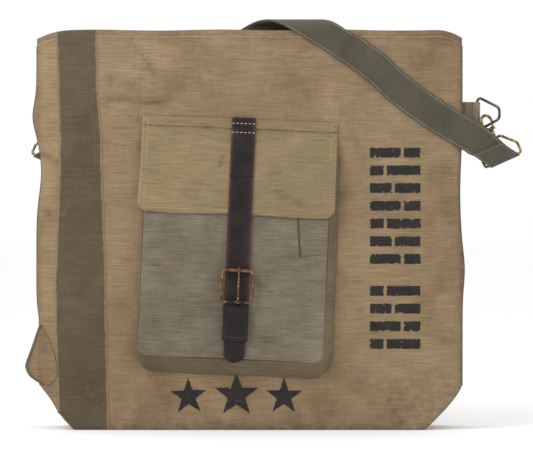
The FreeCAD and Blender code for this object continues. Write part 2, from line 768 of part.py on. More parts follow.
def make_shoulder_strap():
    """Doubled canvas from the right hook, over the mouth and down the back to the left hook."""
    thick, half = number("belt_cloth"), number("belt_width/2")
    stand = number("belt_stand") + thick / 2
    top = number("bag_height")
    drop = Vector(0, 0, -number("eye_length"))
    bars = {side: link_place(side).multVec(drop) for side in ring_places}
    bar_lines = {side: link_place(side).Rotation.multVec(ACROSS) for side in ring_places}
    out_front, out_back = Vector(0, -1, 0), back.Rotation.multVec(DEEP)

    # the flat run on the front, from just past the side up to the rim
    rim_front = Vector(number("rim_x_front"), -number("base_depth/2") - stand, top)
    edge_x = number("bag_width/2 + belt_clear")
    share = (bars["right"].x - edge_x) / (bars["right"].x - rim_front.x)
    edge = Vector(edge_x, rim_front.y, bars["right"].z + (top - bars["right"].z) * share)
    run_front = (rim_front - edge).normalize()
    across_front = run_front.cross(out_front) * half

    # the flat run down the back to a knee, short of the left hook
    rim_back = back.inverse().multVec(Vector(number("rim_x_back"), 0, top))
    stop = back.inverse().multVec(bars["left"])
    rim_back.y = stand
    knee = Vector(stop.x + number("belt_knee"), stand, 0)
    knee.z = stop.z + (rim_back.z - stop.z) * (knee.x - stop.x) / (rim_back.x - stop.x)
    run_back = (back.multVec(knee) - back.multVec(rim_back)).normalize()
    rim_back, knee = back.multVec(rim_back), back.multVec(knee)
    across_back = run_back.cross(out_back) * half

    # over the mouth the strap bends about the rim, so its slices there lie along X
    steps = 8
    rise = number("rim_arch") + stand
    middle, reach = (rim_front.y + rim_back.y) / 2, (rim_back.y - rim_front.y) / 2
    half_front, half_back = half / run_front.z, half / -run_back.z
    slices = []
    for i in range(steps + 1):
        angle = math.pi * i / steps
        share = i / steps
        spot = Vector(
            rim_front.x + (rim_back.x - rim_front.x) * share,
            middle - reach * math.cos(angle),
            top + (rim_back.z - top) * share + rise * math.sin(angle),
        )
        out = Vector(0, -math.cos(angle) / reach, math.sin(angle) / rise).normalize()
        if i == steps:
            out = out_back
        across = ACROSS * (half_front + (half_back - half_front) * share)
        slices.append(belt_section(spot, across, out, thick))
    belt = Part.makeLoft(slices, True, True)
    runs = [
        (edge, across_front, rim_front, ACROSS * half_front, out_front),
        (rim_back, ACROSS * half_back, knee, across_back, out_back),
    ]
    for start, start_half, end, end_half, out in runs:
        low = out * (-thick / 2)
        corners = [start - start_half, start + start_half, end + end_half, end - end_half]
        flat = Part.Face(Part.makePolygon([c + low for c in corners + corners[:1]]))
        belt = belt.fuse(flat.extrude(out * thick))
    solid("shoulder_strap", belt.removeSplitter())

    # each end is turned round the bar of its hook's eye and sewn down
    hole = number("eye_wire/2 + sleeve_gap")
    sleeve = hole + number("sleeve_wall")
    turned = {"right": (edge, across_front, out_front), "left": (knee, across_back, out_back)}
    for side, (spot, across, out) in turned.items():
        bar, line = bars[side], bar_lines[side]
        tube = Part.makeCylinder(sleeve, 2 * half, bar - line * half, line)
        aim = (spot - bar).normalize()
        normal = aim.cross(line).normalize()
        towards = Vector(0, -1, 0)
        if normal.dot(towards) < 0:
            normal = normal * -1
        if across.dot(line) < 0:
            across = across * -1
        start = bar + aim * 0.5 + normal * (sleeve - thick / 2)
        near = belt_section(start, line * half, normal, thick)
        if normal.dot(out) < 0:
            out = out * -1
        far = belt_section(spot - aim * 0.05, across, out, thick)
        tail = Part.makeLoft([near, far], True, True)
        bore = Part.makeCylinder(hole, 4 * half, bar - line * (2 * half), line)
        solid(side + "_strap_end", tube.fuse(tail).cut(bore).removeSplitter())


make_panels()
make_gusset("left_side_gusset", -1)
make_gusset("right_side_gusset", 1)
make_base()
make_hem()
make_band()
make_bindings()
make_pocket_front()
make_pocket_gusset()
make_flap()
make_closure_strap()
make_buckle()
make_snap()
for side in ("right", "left"):
    make_ring(side)
    make_hook(side)
make_shoulder_strap()

doc.recompute()

# ---- checks, then the files ----

for item in doc.Objects:
    if "Invalid" in item.State or "Error" in item.State:
        raise RuntimeError(f"{item.Label} did not compute: {item.State}")
pieces = [o for o in doc.Objects if o.TypeId in ("PartDesign::Body", "Part::Feature")]
for piece in pieces:
    if piece.Shape.isNull() or not piece.Shape.isValid() or not piece.Shape.Solids:
        raise RuntimeError(f"{piece.Label} is not a sound solid")
os.makedirs("parts", exist_ok=True)
for piece in pieces:
    piece.Shape.exportStep(f"parts/{piece.Label}.step")
    print(piece.Label, len(piece.Shape.Solids), round(piece.Shape.Volume, 1))
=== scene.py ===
import json
import math

import bmesh
import bpy
from mathutils import Matrix, Vector, noise
from mathutils.bvhtree import BVHTree


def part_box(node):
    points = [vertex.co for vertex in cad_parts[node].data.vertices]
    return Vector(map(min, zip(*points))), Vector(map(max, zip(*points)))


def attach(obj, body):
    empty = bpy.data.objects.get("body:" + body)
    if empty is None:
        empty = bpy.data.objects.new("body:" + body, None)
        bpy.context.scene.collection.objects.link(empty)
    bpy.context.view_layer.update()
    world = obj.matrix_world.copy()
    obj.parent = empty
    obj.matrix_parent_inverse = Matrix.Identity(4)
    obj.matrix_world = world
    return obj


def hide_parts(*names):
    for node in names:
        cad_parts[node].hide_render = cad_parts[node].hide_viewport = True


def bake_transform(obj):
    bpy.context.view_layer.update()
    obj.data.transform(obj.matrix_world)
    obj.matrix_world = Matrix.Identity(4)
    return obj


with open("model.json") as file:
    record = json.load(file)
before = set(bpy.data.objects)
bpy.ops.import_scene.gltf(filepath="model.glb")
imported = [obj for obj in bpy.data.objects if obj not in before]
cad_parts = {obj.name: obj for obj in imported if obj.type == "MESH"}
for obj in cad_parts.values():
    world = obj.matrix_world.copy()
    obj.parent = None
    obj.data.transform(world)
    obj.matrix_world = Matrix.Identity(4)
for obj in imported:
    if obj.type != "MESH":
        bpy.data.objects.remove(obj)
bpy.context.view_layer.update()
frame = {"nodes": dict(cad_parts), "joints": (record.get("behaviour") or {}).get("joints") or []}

# ---- Camera ----
# Square on to the front, and far enough back that the sack shows almost no perspective.
# The view takes in the sack, the arch of its strap and the hook at its right.

front_low, front_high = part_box("front_panel")
front_y = front_low.y
view_width = 0.677
stand_off = 3.5
camera_data = bpy.data.cameras.new("camera")
camera_data.lens = camera_data.sensor_width * stand_off / view_width
camera = bpy.data.objects.new("camera", camera_data)
camera.location = (0.0216, front_y - stand_off, 0.261)
camera.rotation_euler = (math.radians(90), 0, 0)
bpy.context.scene.collection.objects.link(camera)
bpy.context.scene.camera = camera
bpy.context.scene.view_settings.view_transform = "Standard"

# ---- Room ----
# A wide pale floor under an even white surround, with one lamp high on the left and a
# weaker one on the right.


def node(tree, kind, inputs=None, **settings):
    """Adds a shader or geometry node, sets its properties, then its inputs."""
    made = tree.nodes.new(kind)
    for name, value in settings.items():
        setattr(made, name, value)
    for name, value in (inputs or {}).items():
        if isinstance(value, bpy.types.NodeSocket):
            tree.links.new(value, made.inputs[name])
        else:
            made.inputs[name].default_value = value
    return made


def place_object(name, data):
    """Adds an object to the scene."""
    made = bpy.data.objects.new(name, data)
    bpy.context.scene.collection.objects.link(made)
    return made


def new_material(name):
    material = bpy.data.materials.new(name)
    material.use_nodes = True
    material.node_tree.nodes.clear()
    return material


def linear(red, green, blue):
    """A colour given as 0 to 255 screen values, as the linear colour that shaders take."""
    parts = [c / 255 for c in (red, green, blue)]
    lin = [c / 12.92 if c <= 0.04045 else ((c + 0.055) / 1.055) ** 2.4 for c in parts]
    return (*lin, 1)


def finish_shader(material, **inputs):
    """The principled shader that every material ends in."""
    tree = material.node_tree
    shader = node(tree, "ShaderNodeBsdfPrincipled", {k.replace("_", " "): v for k, v in inputs.items()})
    out = node(tree, "ShaderNodeOutputMaterial")
    tree.links.new(shader.outputs["BSDF"], out.inputs["Surface"])
    return material


world = bpy.data.worlds.new("surround")
world.use_nodes = True
world.node_tree.nodes["Background"].inputs["Color"].default_value = (1, 1, 1, 1)
world.node_tree.nodes["Background"].inputs["Strength"].default_value = 1.0
bpy.context.scene.world = world

paper = finish_shader(new_material("floor_paper"), Base_Color=(0.98, 0.98, 0.98, 1), Roughness=1.0)
floor_mesh = bpy.data.meshes.new("floor")
floor_mesh.from_pydata([(-30, -30, 0), (30, -30, 0), (30, 30, 0), (-30, 30, 0)], [], [(0, 1, 2, 3)])
floor_mesh.materials.append(paper)
floor = place_object("floor", floor_mesh)

for name, place, size, power in (
    ("key", (-1.3, -1.3, 1.7), 0.8, 21),
    ("fill", (1.9, -2.2, 0.9), 1.8, 3),
):
    lamp = bpy.data.lights.new(name, "AREA")
    lamp.size = size
    lamp.energy = power
    holder = place_object(name, lamp)
    holder.location = place
    aim = Vector((0, 0.1, 0.25)) - Vector(place)
    holder.rotation_euler = aim.to_track_quat("-Z", "Y").to_euler()

# ---- Sack canvas ----
# One run of faded tan canvas: a front, a leaning back, two side walls and a base,
# sewn edge to edge. The mouth is open, the upper corners droop, and the cloth has
# shallow folds and two pressed creases near the upper left.

canvas_cloth = 0.0012
half_wide = front_high.x
tall = front_high.z
base_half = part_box("base_panel")[1].x
corner_rise = 0.056
back_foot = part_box("back_panel")[1].y
back_slope = (back_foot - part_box("rim_hem")[1].y) / tall
left_pulls = [
    (0.400, 0.0052, 0.026), (0.328, -0.0060, 0.040), (0.135, -0.0032, 0.022), (0.042, -0.0070, 0.020),
]
right_pulls = [(0.300, -0.0030, 0.060), (0.205, 0.0030, 0.030)]
droop_starts = {-1: 0.226, 1: 0.236}
droop = 0.0105
creases = [
    ((-0.153, 0.494), (-0.121, 0.455), 0.0011, 0.0022),
    ((-0.184, 0.422), (-0.108, 0.414), 0.0013, 0.0026),
    ((-0.139, 0.452), (-0.1395, 0.356), 0.0007, 0.0022),
    ((-0.146, 0.461), (-0.118, 0.452), 0.0006, 0.0020),
    ((-0.268, 0.352), (-0.240, 0.340), 0.0012, 0.0040),
    ((0.176, 0.036), (0.199, 0.002), 0.0012, 0.0030),
    ((0.236, 0.080), (0.262, 0.044), 0.0008, 0.0035),
    ((-0.224, 0.075), (-0.206, 0.040), 0.0009, 0.0030),
    ((0.110, 0.210), (0.140, 0.150), 0.0005, 0.0060),
    ((0.120, 0.405), (0.150, 0.330), 0.0005, 0.0070),
]


def ease(low, high, value):
    """0 below low, 1 above high, and a smooth rise between them."""
    share = min(max((value - low) / (high - low), 0), 1)
    return share * share * (3 - 2 * share)


def off_line(x, z, start, end):
    """How far a point is from a straight line between two points."""
    ax, az = end[0] - start[0], end[1] - start[1]
    share = ((x - start[0]) * ax + (z - start[1]) * az) / (ax * ax + az * az)
    share = min(max(share, 0), 1)
    return math.hypot(x - start[0] - ax * share, z - start[1] - az * share)


def side_edge(side, z):
    """Where a side edge of the sack is, at a height: slanting out, then upright and wavy."""
    share = min(z / corner_rise, 1)
    reach = base_half + (half_wide - base_half) * (1 - (1 - share) ** 1.3)
    for height, pull, spread in left_pulls if side < 0 else right_pulls:
        reach += pull * math.exp(-(((z - height) / spread) ** 2))
    return side * reach


def rim_drop(x, z):
    """How far the cloth hangs below the straight rim, near the upper corners."""
    start = droop_starts[-1 if x < 0 else 1]
    past = max(abs(x) - start, 0) / (half_wide - start)
    return droop * past**2 * ease(0.36, tall, z) + 0.0006 * math.sin(x * 40) * ease(0.45, tall, z)


pocket_hinge = next(j for j in frame["joints"] if j["name"] == "flap_hinge")
pocket_across = -Vector(pocket_hinge["axis"]).normalized()
pocket_down = Vector((pocket_across.z, 0, -pocket_across.x))
pocket_out = Vector((0, -1, 0))
hinge_drop = 0.0165
pocket_origin = Vector(pocket_hinge["pos_m"]) - pocket_down * hinge_drop
pocket_origin.y = front_y


def on_pocket(across, down, out):
    """A place on the pocket, measured from the middle of the top of its flap."""
    return pocket_origin + pocket_across * across + pocket_down * down + pocket_out * out


belt_rim = Vector((0.088, 0, tall))
belt_edge = Vector((0.284, 0, 0.3708))


def calm(x, z):
    """0 where the pocket or the shoulder strap lies on the front, 1 well clear of them."""
    flat = Vector((x, front_y, z)) - pocket_origin
    across, down = flat.dot(pocket_across), flat.dot(pocket_down)
    beside = max(abs(across - 0.002) - 0.126, -down - 0.002, down - 0.327)
    belt = off_line(x, z, (belt_rim.x, belt_rim.z), (belt_edge.x, belt_edge.z)) - 0.021
    return ease(0, 0.028, beside) * ease(0, 0.02, belt)


def folds(x, z):
    """The cloth's shallow folds, in metres out from its flat."""
    broad = 0.0075 * noise.noise(Vector((x * 5.5, 1.7, z * 4.6)))
    middle = 0.0042 * noise.noise(Vector((x * 15, 4.1, z * 11)))
    return broad + middle + 0.0009 * noise.noise(Vector((x * 42, 7.3, z * 34)))


def front_relief(x, z):
    out = folds(x, z)
    for start, end, depth, reach in creases:
        away = off_line(x, z, start, end)
        out -= depth * math.exp(-((away / reach) ** 2))
        out += 0.55 * depth * math.exp(-(((away - 2.1 * reach) / reach) ** 2))
    out -= 0.0008 * math.exp(-(((z - tall + 0.0105) / 0.0016) ** 2))
    return out * calm(x, z) * ease(0, 0.010, z)


def front_spot(u, z):
    left, right = side_edge(-1, z), side_edge(1, z)
    x = left + (right - left) * u
    near = min(x - left, right - x)
    out = front_relief(x, z) * ease(-0.004, 0.02, near)
    out -= 0.0022 * (1 - ease(0, 0.012, near)) * ease(0, 0.05, z)
    return Vector((x, front_y - out, z - rim_drop(x, z)))


def back_spot(u, z):
    left, right = side_edge(-1, z), side_edge(1, z)
    x = left + (right - left) * u
    near = min(x - left, right - x)
    out = min(folds(x + 3, z) - 0.0012, 0.0002) * ease(0, 0.03, near) * ease(0, 0.03, z)
    return Vector((x, back_foot - back_slope * z + out, z - rim_drop(x, z)))


def side_spot(side, t, z):
    """On a side wall: t runs from the front edge to the back edge."""
    front, behind = front_spot((side + 1) / 2, z), back_spot((side + 1) / 2, z)
    spot = front.lerp(behind, t)
    belly = math.sin(math.pi * t)
    spot.x -= side * belly * (0.0030 * ease(0.05, 0.2, z) + 0.0045 * ease(0.43, 0.5, z))
    spot.x -= side * belly * 0.002 * noise.noise(Vector((side * 9, t * 2, z * 14)))
    return spot


def base_spot(u, t):
    return front_spot(u, 0).lerp(back_spot(u, 0), t)


def add_grid(mesh, columns, rows, spot, cloth, flip=False):
    """Adds a grid of faces; spot(u, v) places it and cloth(place) gives its weave coordinates."""
    layer = mesh.loops.layers.uv.get("weave") or mesh.loops.layers.uv.new("weave")
    lines = [[mesh.verts.new(spot(i, j)) for i in columns] for j in rows]
    for low, high in zip(lines, lines[1:]):
        for i in range(len(low) - 1):
            ring = [low[i], low[i + 1], high[i + 1], high[i]]
            face = mesh.faces.new(ring[::-1] if flip else ring)
            face.smooth = True
            for loop in face.loops:
                loop[layer].uv = cloth(loop.vert.co)


def steps(count):
    return [i / count for i in range(count + 1)]


def new_piece(name, mesh, material, join=0.00002):
    """Turns a bmesh into an object with its doubles merged."""
    bmesh.ops.remove_doubles(mesh, verts=mesh.verts, dist=join)
    data = bpy.data.meshes.new(name)
    mesh.to_mesh(data)
    mesh.free()
    data.materials.append(material)
    return place_object(name, data)


def settle(piece):
    """Applies a piece's modifiers, so that what is left is a plain mesh."""
    graph = bpy.context.evaluated_depsgraph_get()
    data = bpy.data.meshes.new_from_object(piece.evaluated_get(graph))
    piece.modifiers.clear()
    piece.data = data
    return piece


def thicken(piece, cloth):
    """Gives a sheet its thickness, inwards from its outer face."""
    solidify = piece.modifiers.new("cloth", "SOLIDIFY")
    solidify.thickness = cloth
    solidify.offset = -1
    return settle(piece)


def mark(piece, name, amount):
    """Stores a number at each point of a piece, for its material to read."""
    layer = piece.data.attributes.new(name, "FLOAT", "POINT")
    for i, point in enumerate(piece.data.vertices):
        layer.data[i].value = amount(point.co)


def grain(tree, place, scale, detail, **settings):
    """Fractal noise, as a number; roughness and distortion can be given too."""
    inputs = {"Vector": place, "Scale": float(scale), "Detail": float(detail)}
    inputs |= {name.title(): value for name, value in settings.items()}
    return node(tree, "ShaderNodeTexNoise", inputs).outputs["Fac"]


def ramp(tree, value, low=0.0, high=1.0, start=0.0, end=1.0, **settings):
    """Maps low and high to start and end."""
    inputs = {"Value": value, "From Min": low, "From Max": high, "To Min": start, "To Max": end}
    return node(tree, "ShaderNodeMapRange", inputs, **settings).outputs["Result"]


def mixed(tree, factor, first, second):
    """A mix of two colours, each a socket or three screen values."""
    first, second = [c if isinstance(c, bpy.types.NodeSocket) else linear(*c) for c in (first, second)]
    return node(tree, "ShaderNodeMix", {0: factor, 6: first, 7: second}, data_type="RGBA").outputs[2]


def maths(tree, operation, first, second):
    return node(tree, "ShaderNodeMath", {0: first, 1: second}, operation=operation).outputs[0]


def stored(tree, name):
    return node(tree, "ShaderNodeAttribute", attribute_name=name).outputs["Fac"]


def relief(tree, height, strength, distance):
    inputs = {"Height": height, "Strength": strength, "Distance": distance}
    return node(tree, "ShaderNodeBump", inputs).outputs["Normal"]


def start_material(name):
    """A new material, its node tree and its object coordinates."""
    material = new_material(name)
    tree = material.node_tree
    return material, tree, node(tree, "ShaderNodeTexCoord").outputs["Object"]


def cloth_material(
    name, main, shade, tint, thread=0.0011, rib=0.35, streak=0.30, soil_and_shade=(70, 56, 40), bump=0.55,
):
    """Woven cloth: faded patches, long slubs both ways, the weave's own relief, and darkening from a stored
    attribute that holds real soiling and painted shade.
    """
    material, tree, place = start_material(name)
    weave = node(tree, "ShaderNodeUVMap", uv_map="weave").outputs["UV"]

    def slubs(along_weft, along_warp, detail):
        scale = (along_weft, along_warp, 1)
        stretched = node(tree, "ShaderNodeMapping", {"Vector": weave, "Scale": scale}).outputs["Vector"]
        return grain(tree, stretched, 1.0, detail, roughness=0.6, distortion=0.0)

    def yarns(direction):
        inputs = {"Vector": weave, "Scale": math.pi / 10 / thread, "Distortion": 0.6}
        return node(tree, "ShaderNodeTexWave", inputs, bands_direction=direction).outputs["Fac"]

    patches = ramp(tree, grain(tree, place, 6.5, 5, roughness=0.6, distortion=0.8), 0.36, 0.68)
    blotches = ramp(tree, grain(tree, place, 21, 4, roughness=0.6, distortion=0.4), 0.42, 0.74)
    speck = ramp(tree, grain(tree, place, 420, 2, roughness=0.6, distortion=0.0), 0.62, 0.78)
    weft, warp, coarse = slubs(34, 640, 4), slubs(520, 24, 3), slubs(14, 210, 3)
    colour = mixed(tree, patches, shade, main)
    colour = mixed(tree, maths(tree, "MULTIPLY", blotches, 0.55), colour, tint)
    lines = maths(tree, "ADD", weft, maths(tree, "MULTIPLY", warp, 0.25))
    lines = maths(tree, "ADD", lines, maths(tree, "MULTIPLY", coarse, 0.35))
    value = ramp(tree, ramp(tree, lines, 0.55, 1.05), start=1 - streak, end=1 + streak)
    tone = node(tree, "ShaderNodeHueSaturation", {"Color": colour, "Value": value}).outputs["Color"]
    tone = mixed(tree, maths(tree, "MULTIPLY", speck, 0.16), tone, soil_and_shade)
    worn = ramp(tree, grain(tree, place, 90, 3, roughness=0.6, distortion=0.0), 0.25, 0.62)
    # Darkens by the stored attribute: real grime and stains, and painted shade in creases, grooves and where
    # pieces meet.
    tone = mixed(tree, maths(tree, "MULTIPLY", stored(tree, "soil_and_shade"), worn), tone, soil_and_shade)
    tone = mixed(tree, stored(tree, "pale"), tone, [min(c * 1.16 + 6, 255) for c in tint])

    threads = maths(tree, "ADD", yarns("Y"), maths(tree, "MULTIPLY", yarns("X"), 0.6))
    height = maths(tree, "ADD", maths(tree, "MULTIPLY", threads, rib), lines)
    fuzz = grain(tree, place, 160, 4, roughness=0.6, distortion=0.0)
    height = maths(tree, "ADD", height, maths(tree, "MULTIPLY", fuzz, 0.8))
    return finish_shader(
        material, Base_Color=tone, Roughness=ramp(tree, weft, start=0.82, end=1.0),
        Normal=relief(tree, height, bump, 0.0006),
        Sheen_Weight=0.12, Sheen_Roughness=0.6, Specular_IOR_Level=0.2,
    )


canvas = cloth_material("faded_canvas", (143, 123, 94), (116, 96, 70), (147, 123, 94))
sack_mesh = bmesh.new()
heights = [tall * i / 110 for i in range(111)]
acrosses, depths = steps(118), steps(16)
add_grid(sack_mesh, acrosses, heights, front_spot, lambda p: (p.x, p.z))
add_grid(sack_mesh, acrosses, heights, back_spot, lambda p: (p.x, p.z), flip=True)
add_grid(sack_mesh, depths, heights, lambda t, z: side_spot(1, t, z), lambda p: (p.y, p.z))
add_grid(sack_mesh, depths, heights, lambda t, z: side_spot(-1, t, z), lambda p: (p.y, p.z), flip=True)
add_grid(sack_mesh, acrosses, depths, base_spot, lambda p: (p.x, p.y), flip=True)
sack = new_piece("sack_canvas", sack_mesh, canvas)
# Small real stains, except the last three, which are broad painted shade darkening the bottom, most at the
# lower right.
stains_and_shade = [
    (-0.176, 0.447, 0.007, 0.7), (-0.150, 0.440, 0.010, 0.5), (-0.255, 0.275, 0.006, 0.6),
    (-0.128, 0.300, 0.010, 0.5), (0.120, 0.300, 0.012, 0.4), (0.140, 0.060, 0.020, 0.35),
    (0.215, 0.470, 0.018, 0.35), (0.160, 0.440, 0.012, 0.35), (0.236, 0.330, 0.014, 0.35),
    (-0.060, 0.470, 0.015, 0.30), (0.060, 0.020, 0.018, 0.35), (0.246, 0.120, 0.020, 0.30),
    (0.215, 0.030, 0.055, 0.38), (0.100, 0.020, 0.045, 0.22), (-0.120, 0.030, 0.050, 0.22),
]


def sack_soil_and_shade(p):
    """Darkening: painted shade in the creases, in the groove under the hem and broadly towards the lower
    right; darker along the foot, the rim top and the side edges; real stains in small spots.
    """
    # Painted shade in the groove under the turned hem.
    dirt_and_shade = 0.55 * math.exp(-(((p.z - tall + 0.0105) / 0.0016) ** 2))
    dirt_and_shade = max(dirt_and_shade, 0.55 * (1 - ease(0, 0.02, p.z)), 0.5 * (1 - ease(0.0, 0.008, half_wide - abs(p.x))))
    dirt_and_shade = max(dirt_and_shade, 0.28 * (1 - ease(0, 0.012, tall - p.z)))
    if p.y > front_y + 0.012:
        return dirt_and_shade
    # Painted shade in the creases.
    for start, end, depth, reach in creases:
        dirt_and_shade = max(dirt_and_shade, 520 * depth * math.exp(-((off_line(p.x, p.z, start, end) / reach) ** 2)))
    for x, z, size, amount in stains_and_shade:
        dirt_and_shade = max(dirt_and_shade, amount * math.exp(-(((p.x - x) ** 2 + (p.z - z) ** 2) / size**2)))
    return min(dirt_and_shade, 0.85)


mark(sack, "soil_and_shade", sack_soil_and_shade)
thicken(sack, canvas_cloth)
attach(sack, "sack")
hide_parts("front_panel", "back_panel", "left_side_gusset", "right_side_gusset", "base_panel")

sack_graph = bpy.context.evaluated_depsgraph_get()
sack_tree = BVHTree.FromObject(sack, sack_graph)


def lay_on(x, z, out=0.0003):
    """A place just clear of the front, which follows its folds."""
    hit = sack_tree.ray_cast(Vector((x, front_y - 0.05, z)), Vector((0, 1, 0)), 0.09)[0]
    if hit is None:
        hit = Vector((x, front_y, z))
    return Vector((x, hit.y - out, z))


# ---- Rim hem ----
# The canvas is turned in along the mouth and sewn with one row of pale thread,
# so a second layer shows inside the rim on all four sides.

hem_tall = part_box("rim_hem")[1].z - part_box("rim_hem")[0].z
hem_gap = 0.00128
hem_cloth = 0.0009


def hem_spot(wall, t, z):
    if wall == "front":
        spot, inward = front_spot(t, z), Vector((0, 1, 0))
    elif wall == "back":
        spot, inward = back_spot(t, z), Vector((0, -1, 0))
    else:
        side = 1 if wall == "right" else -1
        spot, inward = side_spot(side, t, z), Vector((-side, 0, 0))
    spot += inward * hem_gap
    if wall in ("front", "back"):
        spot.x *= 1 - hem_gap / half_wide
    else:
        front, behind = side_spot(side, 0, z).y + hem_gap, side_spot(side, 1, z).y - hem_gap
        spot.y = front + (behind - front) * t
    return spot


hem_mesh = bmesh.new()
hem_levels = [tall - hem_tall + hem_tall * i / 4 for i in range(5)]
hem_walls = (("front", 90, False), ("back", 90, True), ("right", 12, False), ("left", 12, True))
for wall, count, flip in hem_walls:
    add_grid(
        hem_mesh, steps(count), hem_levels, lambda t, z: hem_spot(wall, t, z),
        lambda p: (p.x + p.y, p.z), flip,
    )
hem = thicken(new_piece("rim_hem_turned", hem_mesh, canvas, join=0.0004), hem_cloth)
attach(hem, "sack")
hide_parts("rim_hem")


def stitch_tree():
    """Geometry nodes that sew a row: short rounded stitches, end to end along an edge line."""
    group = bpy.data.node_groups.new("stitch_row", "GeometryNodeTree")
    face = group.interface
    face.new_socket("Geometry", in_out="INPUT", socket_type="NodeSocketGeometry")
    for name in ("Pitch", "Length", "Thickness"):
        face.new_socket(name, in_out="INPUT", socket_type="NodeSocketFloat")
    face.new_socket("Thread", in_out="INPUT", socket_type="NodeSocketMaterial")
    face.new_socket("Geometry", in_out="OUTPUT", socket_type="NodeSocketGeometry")
    start = node(group, "NodeGroupInput").outputs
    line = node(group, "GeometryNodeMeshToCurve", {"Mesh": start["Geometry"]})
    spaced = node(group, "GeometryNodeResampleCurve", {
        "Curve": line.outputs["Curve"], "Length": start["Pitch"],
    }, mode="LENGTH")
    ball = node(group, "GeometryNodeMeshUVSphere", {"Segments": 6, "Rings": 4, "Radius": 0.5})
    size = node(group, "ShaderNodeCombineXYZ", {
        "X": start["Thickness"], "Y": start["Thickness"], "Z": start["Length"],
    })
    stitch = node(group, "GeometryNodeTransform", {
        "Geometry": ball.outputs["Mesh"], "Scale": size.outputs[0],
    })
    tangent = node(group, "GeometryNodeInputTangent").outputs[0]
    drift = node(group, "FunctionNodeRandomValue", {
        "Min": (-0.12, -0.12, -0.12), "Max": (0.12, 0.12, 0.12), "Seed": 5,
    }, data_type="FLOAT_VECTOR")
    uneven = node(group, "ShaderNodeVectorMath", {0: tangent, 1: drift.outputs["Value"]}, operation="ADD")
    turn = node(group, "FunctionNodeAlignRotationToVector", {"Vector": uneven.outputs[0]}, axis="Z")
    rows = node(group, "GeometryNodeInstanceOnPoints", {
        "Points": spaced.outputs["Curve"], "Instance": stitch.outputs["Geometry"],
        "Rotation": turn.outputs["Rotation"],
    })
    real = node(group, "GeometryNodeRealizeInstances", {"Geometry": rows.outputs["Instances"]})
    done = node(group, "GeometryNodeSetMaterial", {
        "Geometry": real.outputs["Geometry"], "Material": start["Thread"],
    })
    group.links.new(done.outputs["Geometry"], node(group, "NodeGroupOutput").inputs["Geometry"])
    return group


stitching = stitch_tree()


def sew(name, rows, thread, pitch=0.0034, length=0.0026, thickness=0.0006):
    """Sews rows of stitches along lists of places, as one plain mesh."""
    points, edges = [], []
    for row in rows:
        edges += [(len(points) + i, len(points) + i + 1) for i in range(len(row) - 1)]
        points += row
    data = bpy.data.meshes.new(name)
    data.from_pydata(points, edges, [])
    piece = place_object(name, data)
    modifier = piece.modifiers.new("stitches", "NODES")
    modifier.node_group = stitching
    settings = {"Pitch": pitch, "Length": length, "Thickness": thickness, "Thread": thread}
    for item in stitching.interface.items_tree:
        if item.in_out == "INPUT" and item.name in settings:
            modifier[item.identifier] = settings[item.name]
    settle(piece)
    piece.data.shade_smooth()
    return piece


def thread_material(name, colour, faded):
    """Spun thread, with a fine twist and patches where it has lost its colour."""
    material, tree, place = start_material(name)
    worn = ramp(tree, grain(tree, place, 60, 3), 0.35, 0.65)
    return finish_shader(
        material, Base_Color=mixed(tree, worn, colour, faded), Roughness=0.85,
        Normal=relief(tree, grain(tree, place, 2600, 1), 0.5, 0.0002),
    )


cream_thread = thread_material("cream_thread", (206, 192, 156), (168, 150, 116))
hem_inset = 0.0085
hem_line = tall - hem_inset
hem_row = []
for i in range(181):
    x = side_edge(-1, hem_line) + (side_edge(1, hem_line) - side_edge(-1, hem_line)) * i / 180
    hem_row.append(lay_on(x, hem_line - rim_drop(x, hem_line), 0.0001))
back_row = [back_spot(1 - i / 90, hem_line) + Vector((0, 0.0002, 0)) for i in range(91)]
right_row = [side_spot(1, i / 8, hem_line) + Vector((0.0002, 0, 0)) for i in range(1, 8)]
left_row = [side_spot(-1, i / 8, hem_line) - Vector((0.0002, 0, 0)) for i in range(1, 8)]
hem_rows = [hem_row[1:-1], right_row, back_row[1:-1], left_row]
hem_stitches = sew("hem_stitches", hem_rows, cream_thread, thickness=0.0009)
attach(hem_stitches, "sack")

# ---- Dark band ----
# A strip of olive-brown cloth up the left of the front, whose dye has bled softly
# past both of its edges. A faint row of stitches runs inside each edge.

band_cloth = 0.0004
band_marks = [
    (0.000, -0.2435, -0.1785), (0.165, -0.2475, -0.1815), (0.356, -0.2415, -0.1865),
    (0.440, -0.2440, -0.1920), (0.508, -0.2460, -0.1935),
]


def band_edges(z):
    """The band's left and right edges at a height, eased between its marks."""
    for low, high in zip(band_marks, band_marks[1:]):
        if z <= high[0]:
            share = ease(low[0], high[0], z)
            break
    left = low[1] + (high[1] - low[1]) * share + 0.0006 * noise.noise(Vector((1, 2, z * 30)))
    right = low[2] + (high[2] - low[2]) * share + 0.0006 * noise.noise(Vector((5, 2, z * 30)))
    return left, right


def band_spot(u, v):
    z = 0.0015 + (tall - 0.0022) * v
    left, right = band_edges(z)
    x = left + (right - left) * u
    height = max(z - rim_drop(x, z), 0.0015 + 0.028 * ease(0.222, 0.246, -x) * (1 - ease(0, 0.06, z)))
    return lay_on(x, height, band_cloth + 0.00012)


def band_material():
    """The band's own cloth, fading into the canvas beside it along both edges."""
    material = cloth_material("band_cloth", (89, 78, 60), (75, 64, 48), (95, 84, 66), streak=0.24)
    tree = material.node_tree
    shader = next(n for n in tree.nodes if n.type == "BSDF_PRINCIPLED")
    dyed = shader.inputs["Base Color"].links[0].from_socket
    place = node(tree, "ShaderNodeTexCoord").outputs["Object"]
    uneven = maths(tree, "ADD", stored(tree, "edge"), grain(tree, place, 130, 3))
    bleed = ramp(tree, uneven, 0.55, 1.30, interpolation_type="SMOOTHSTEP")
    tree.links.new(mixed(tree, bleed, dyed, (130, 111, 83)), shader.inputs["Base Color"])
    return material


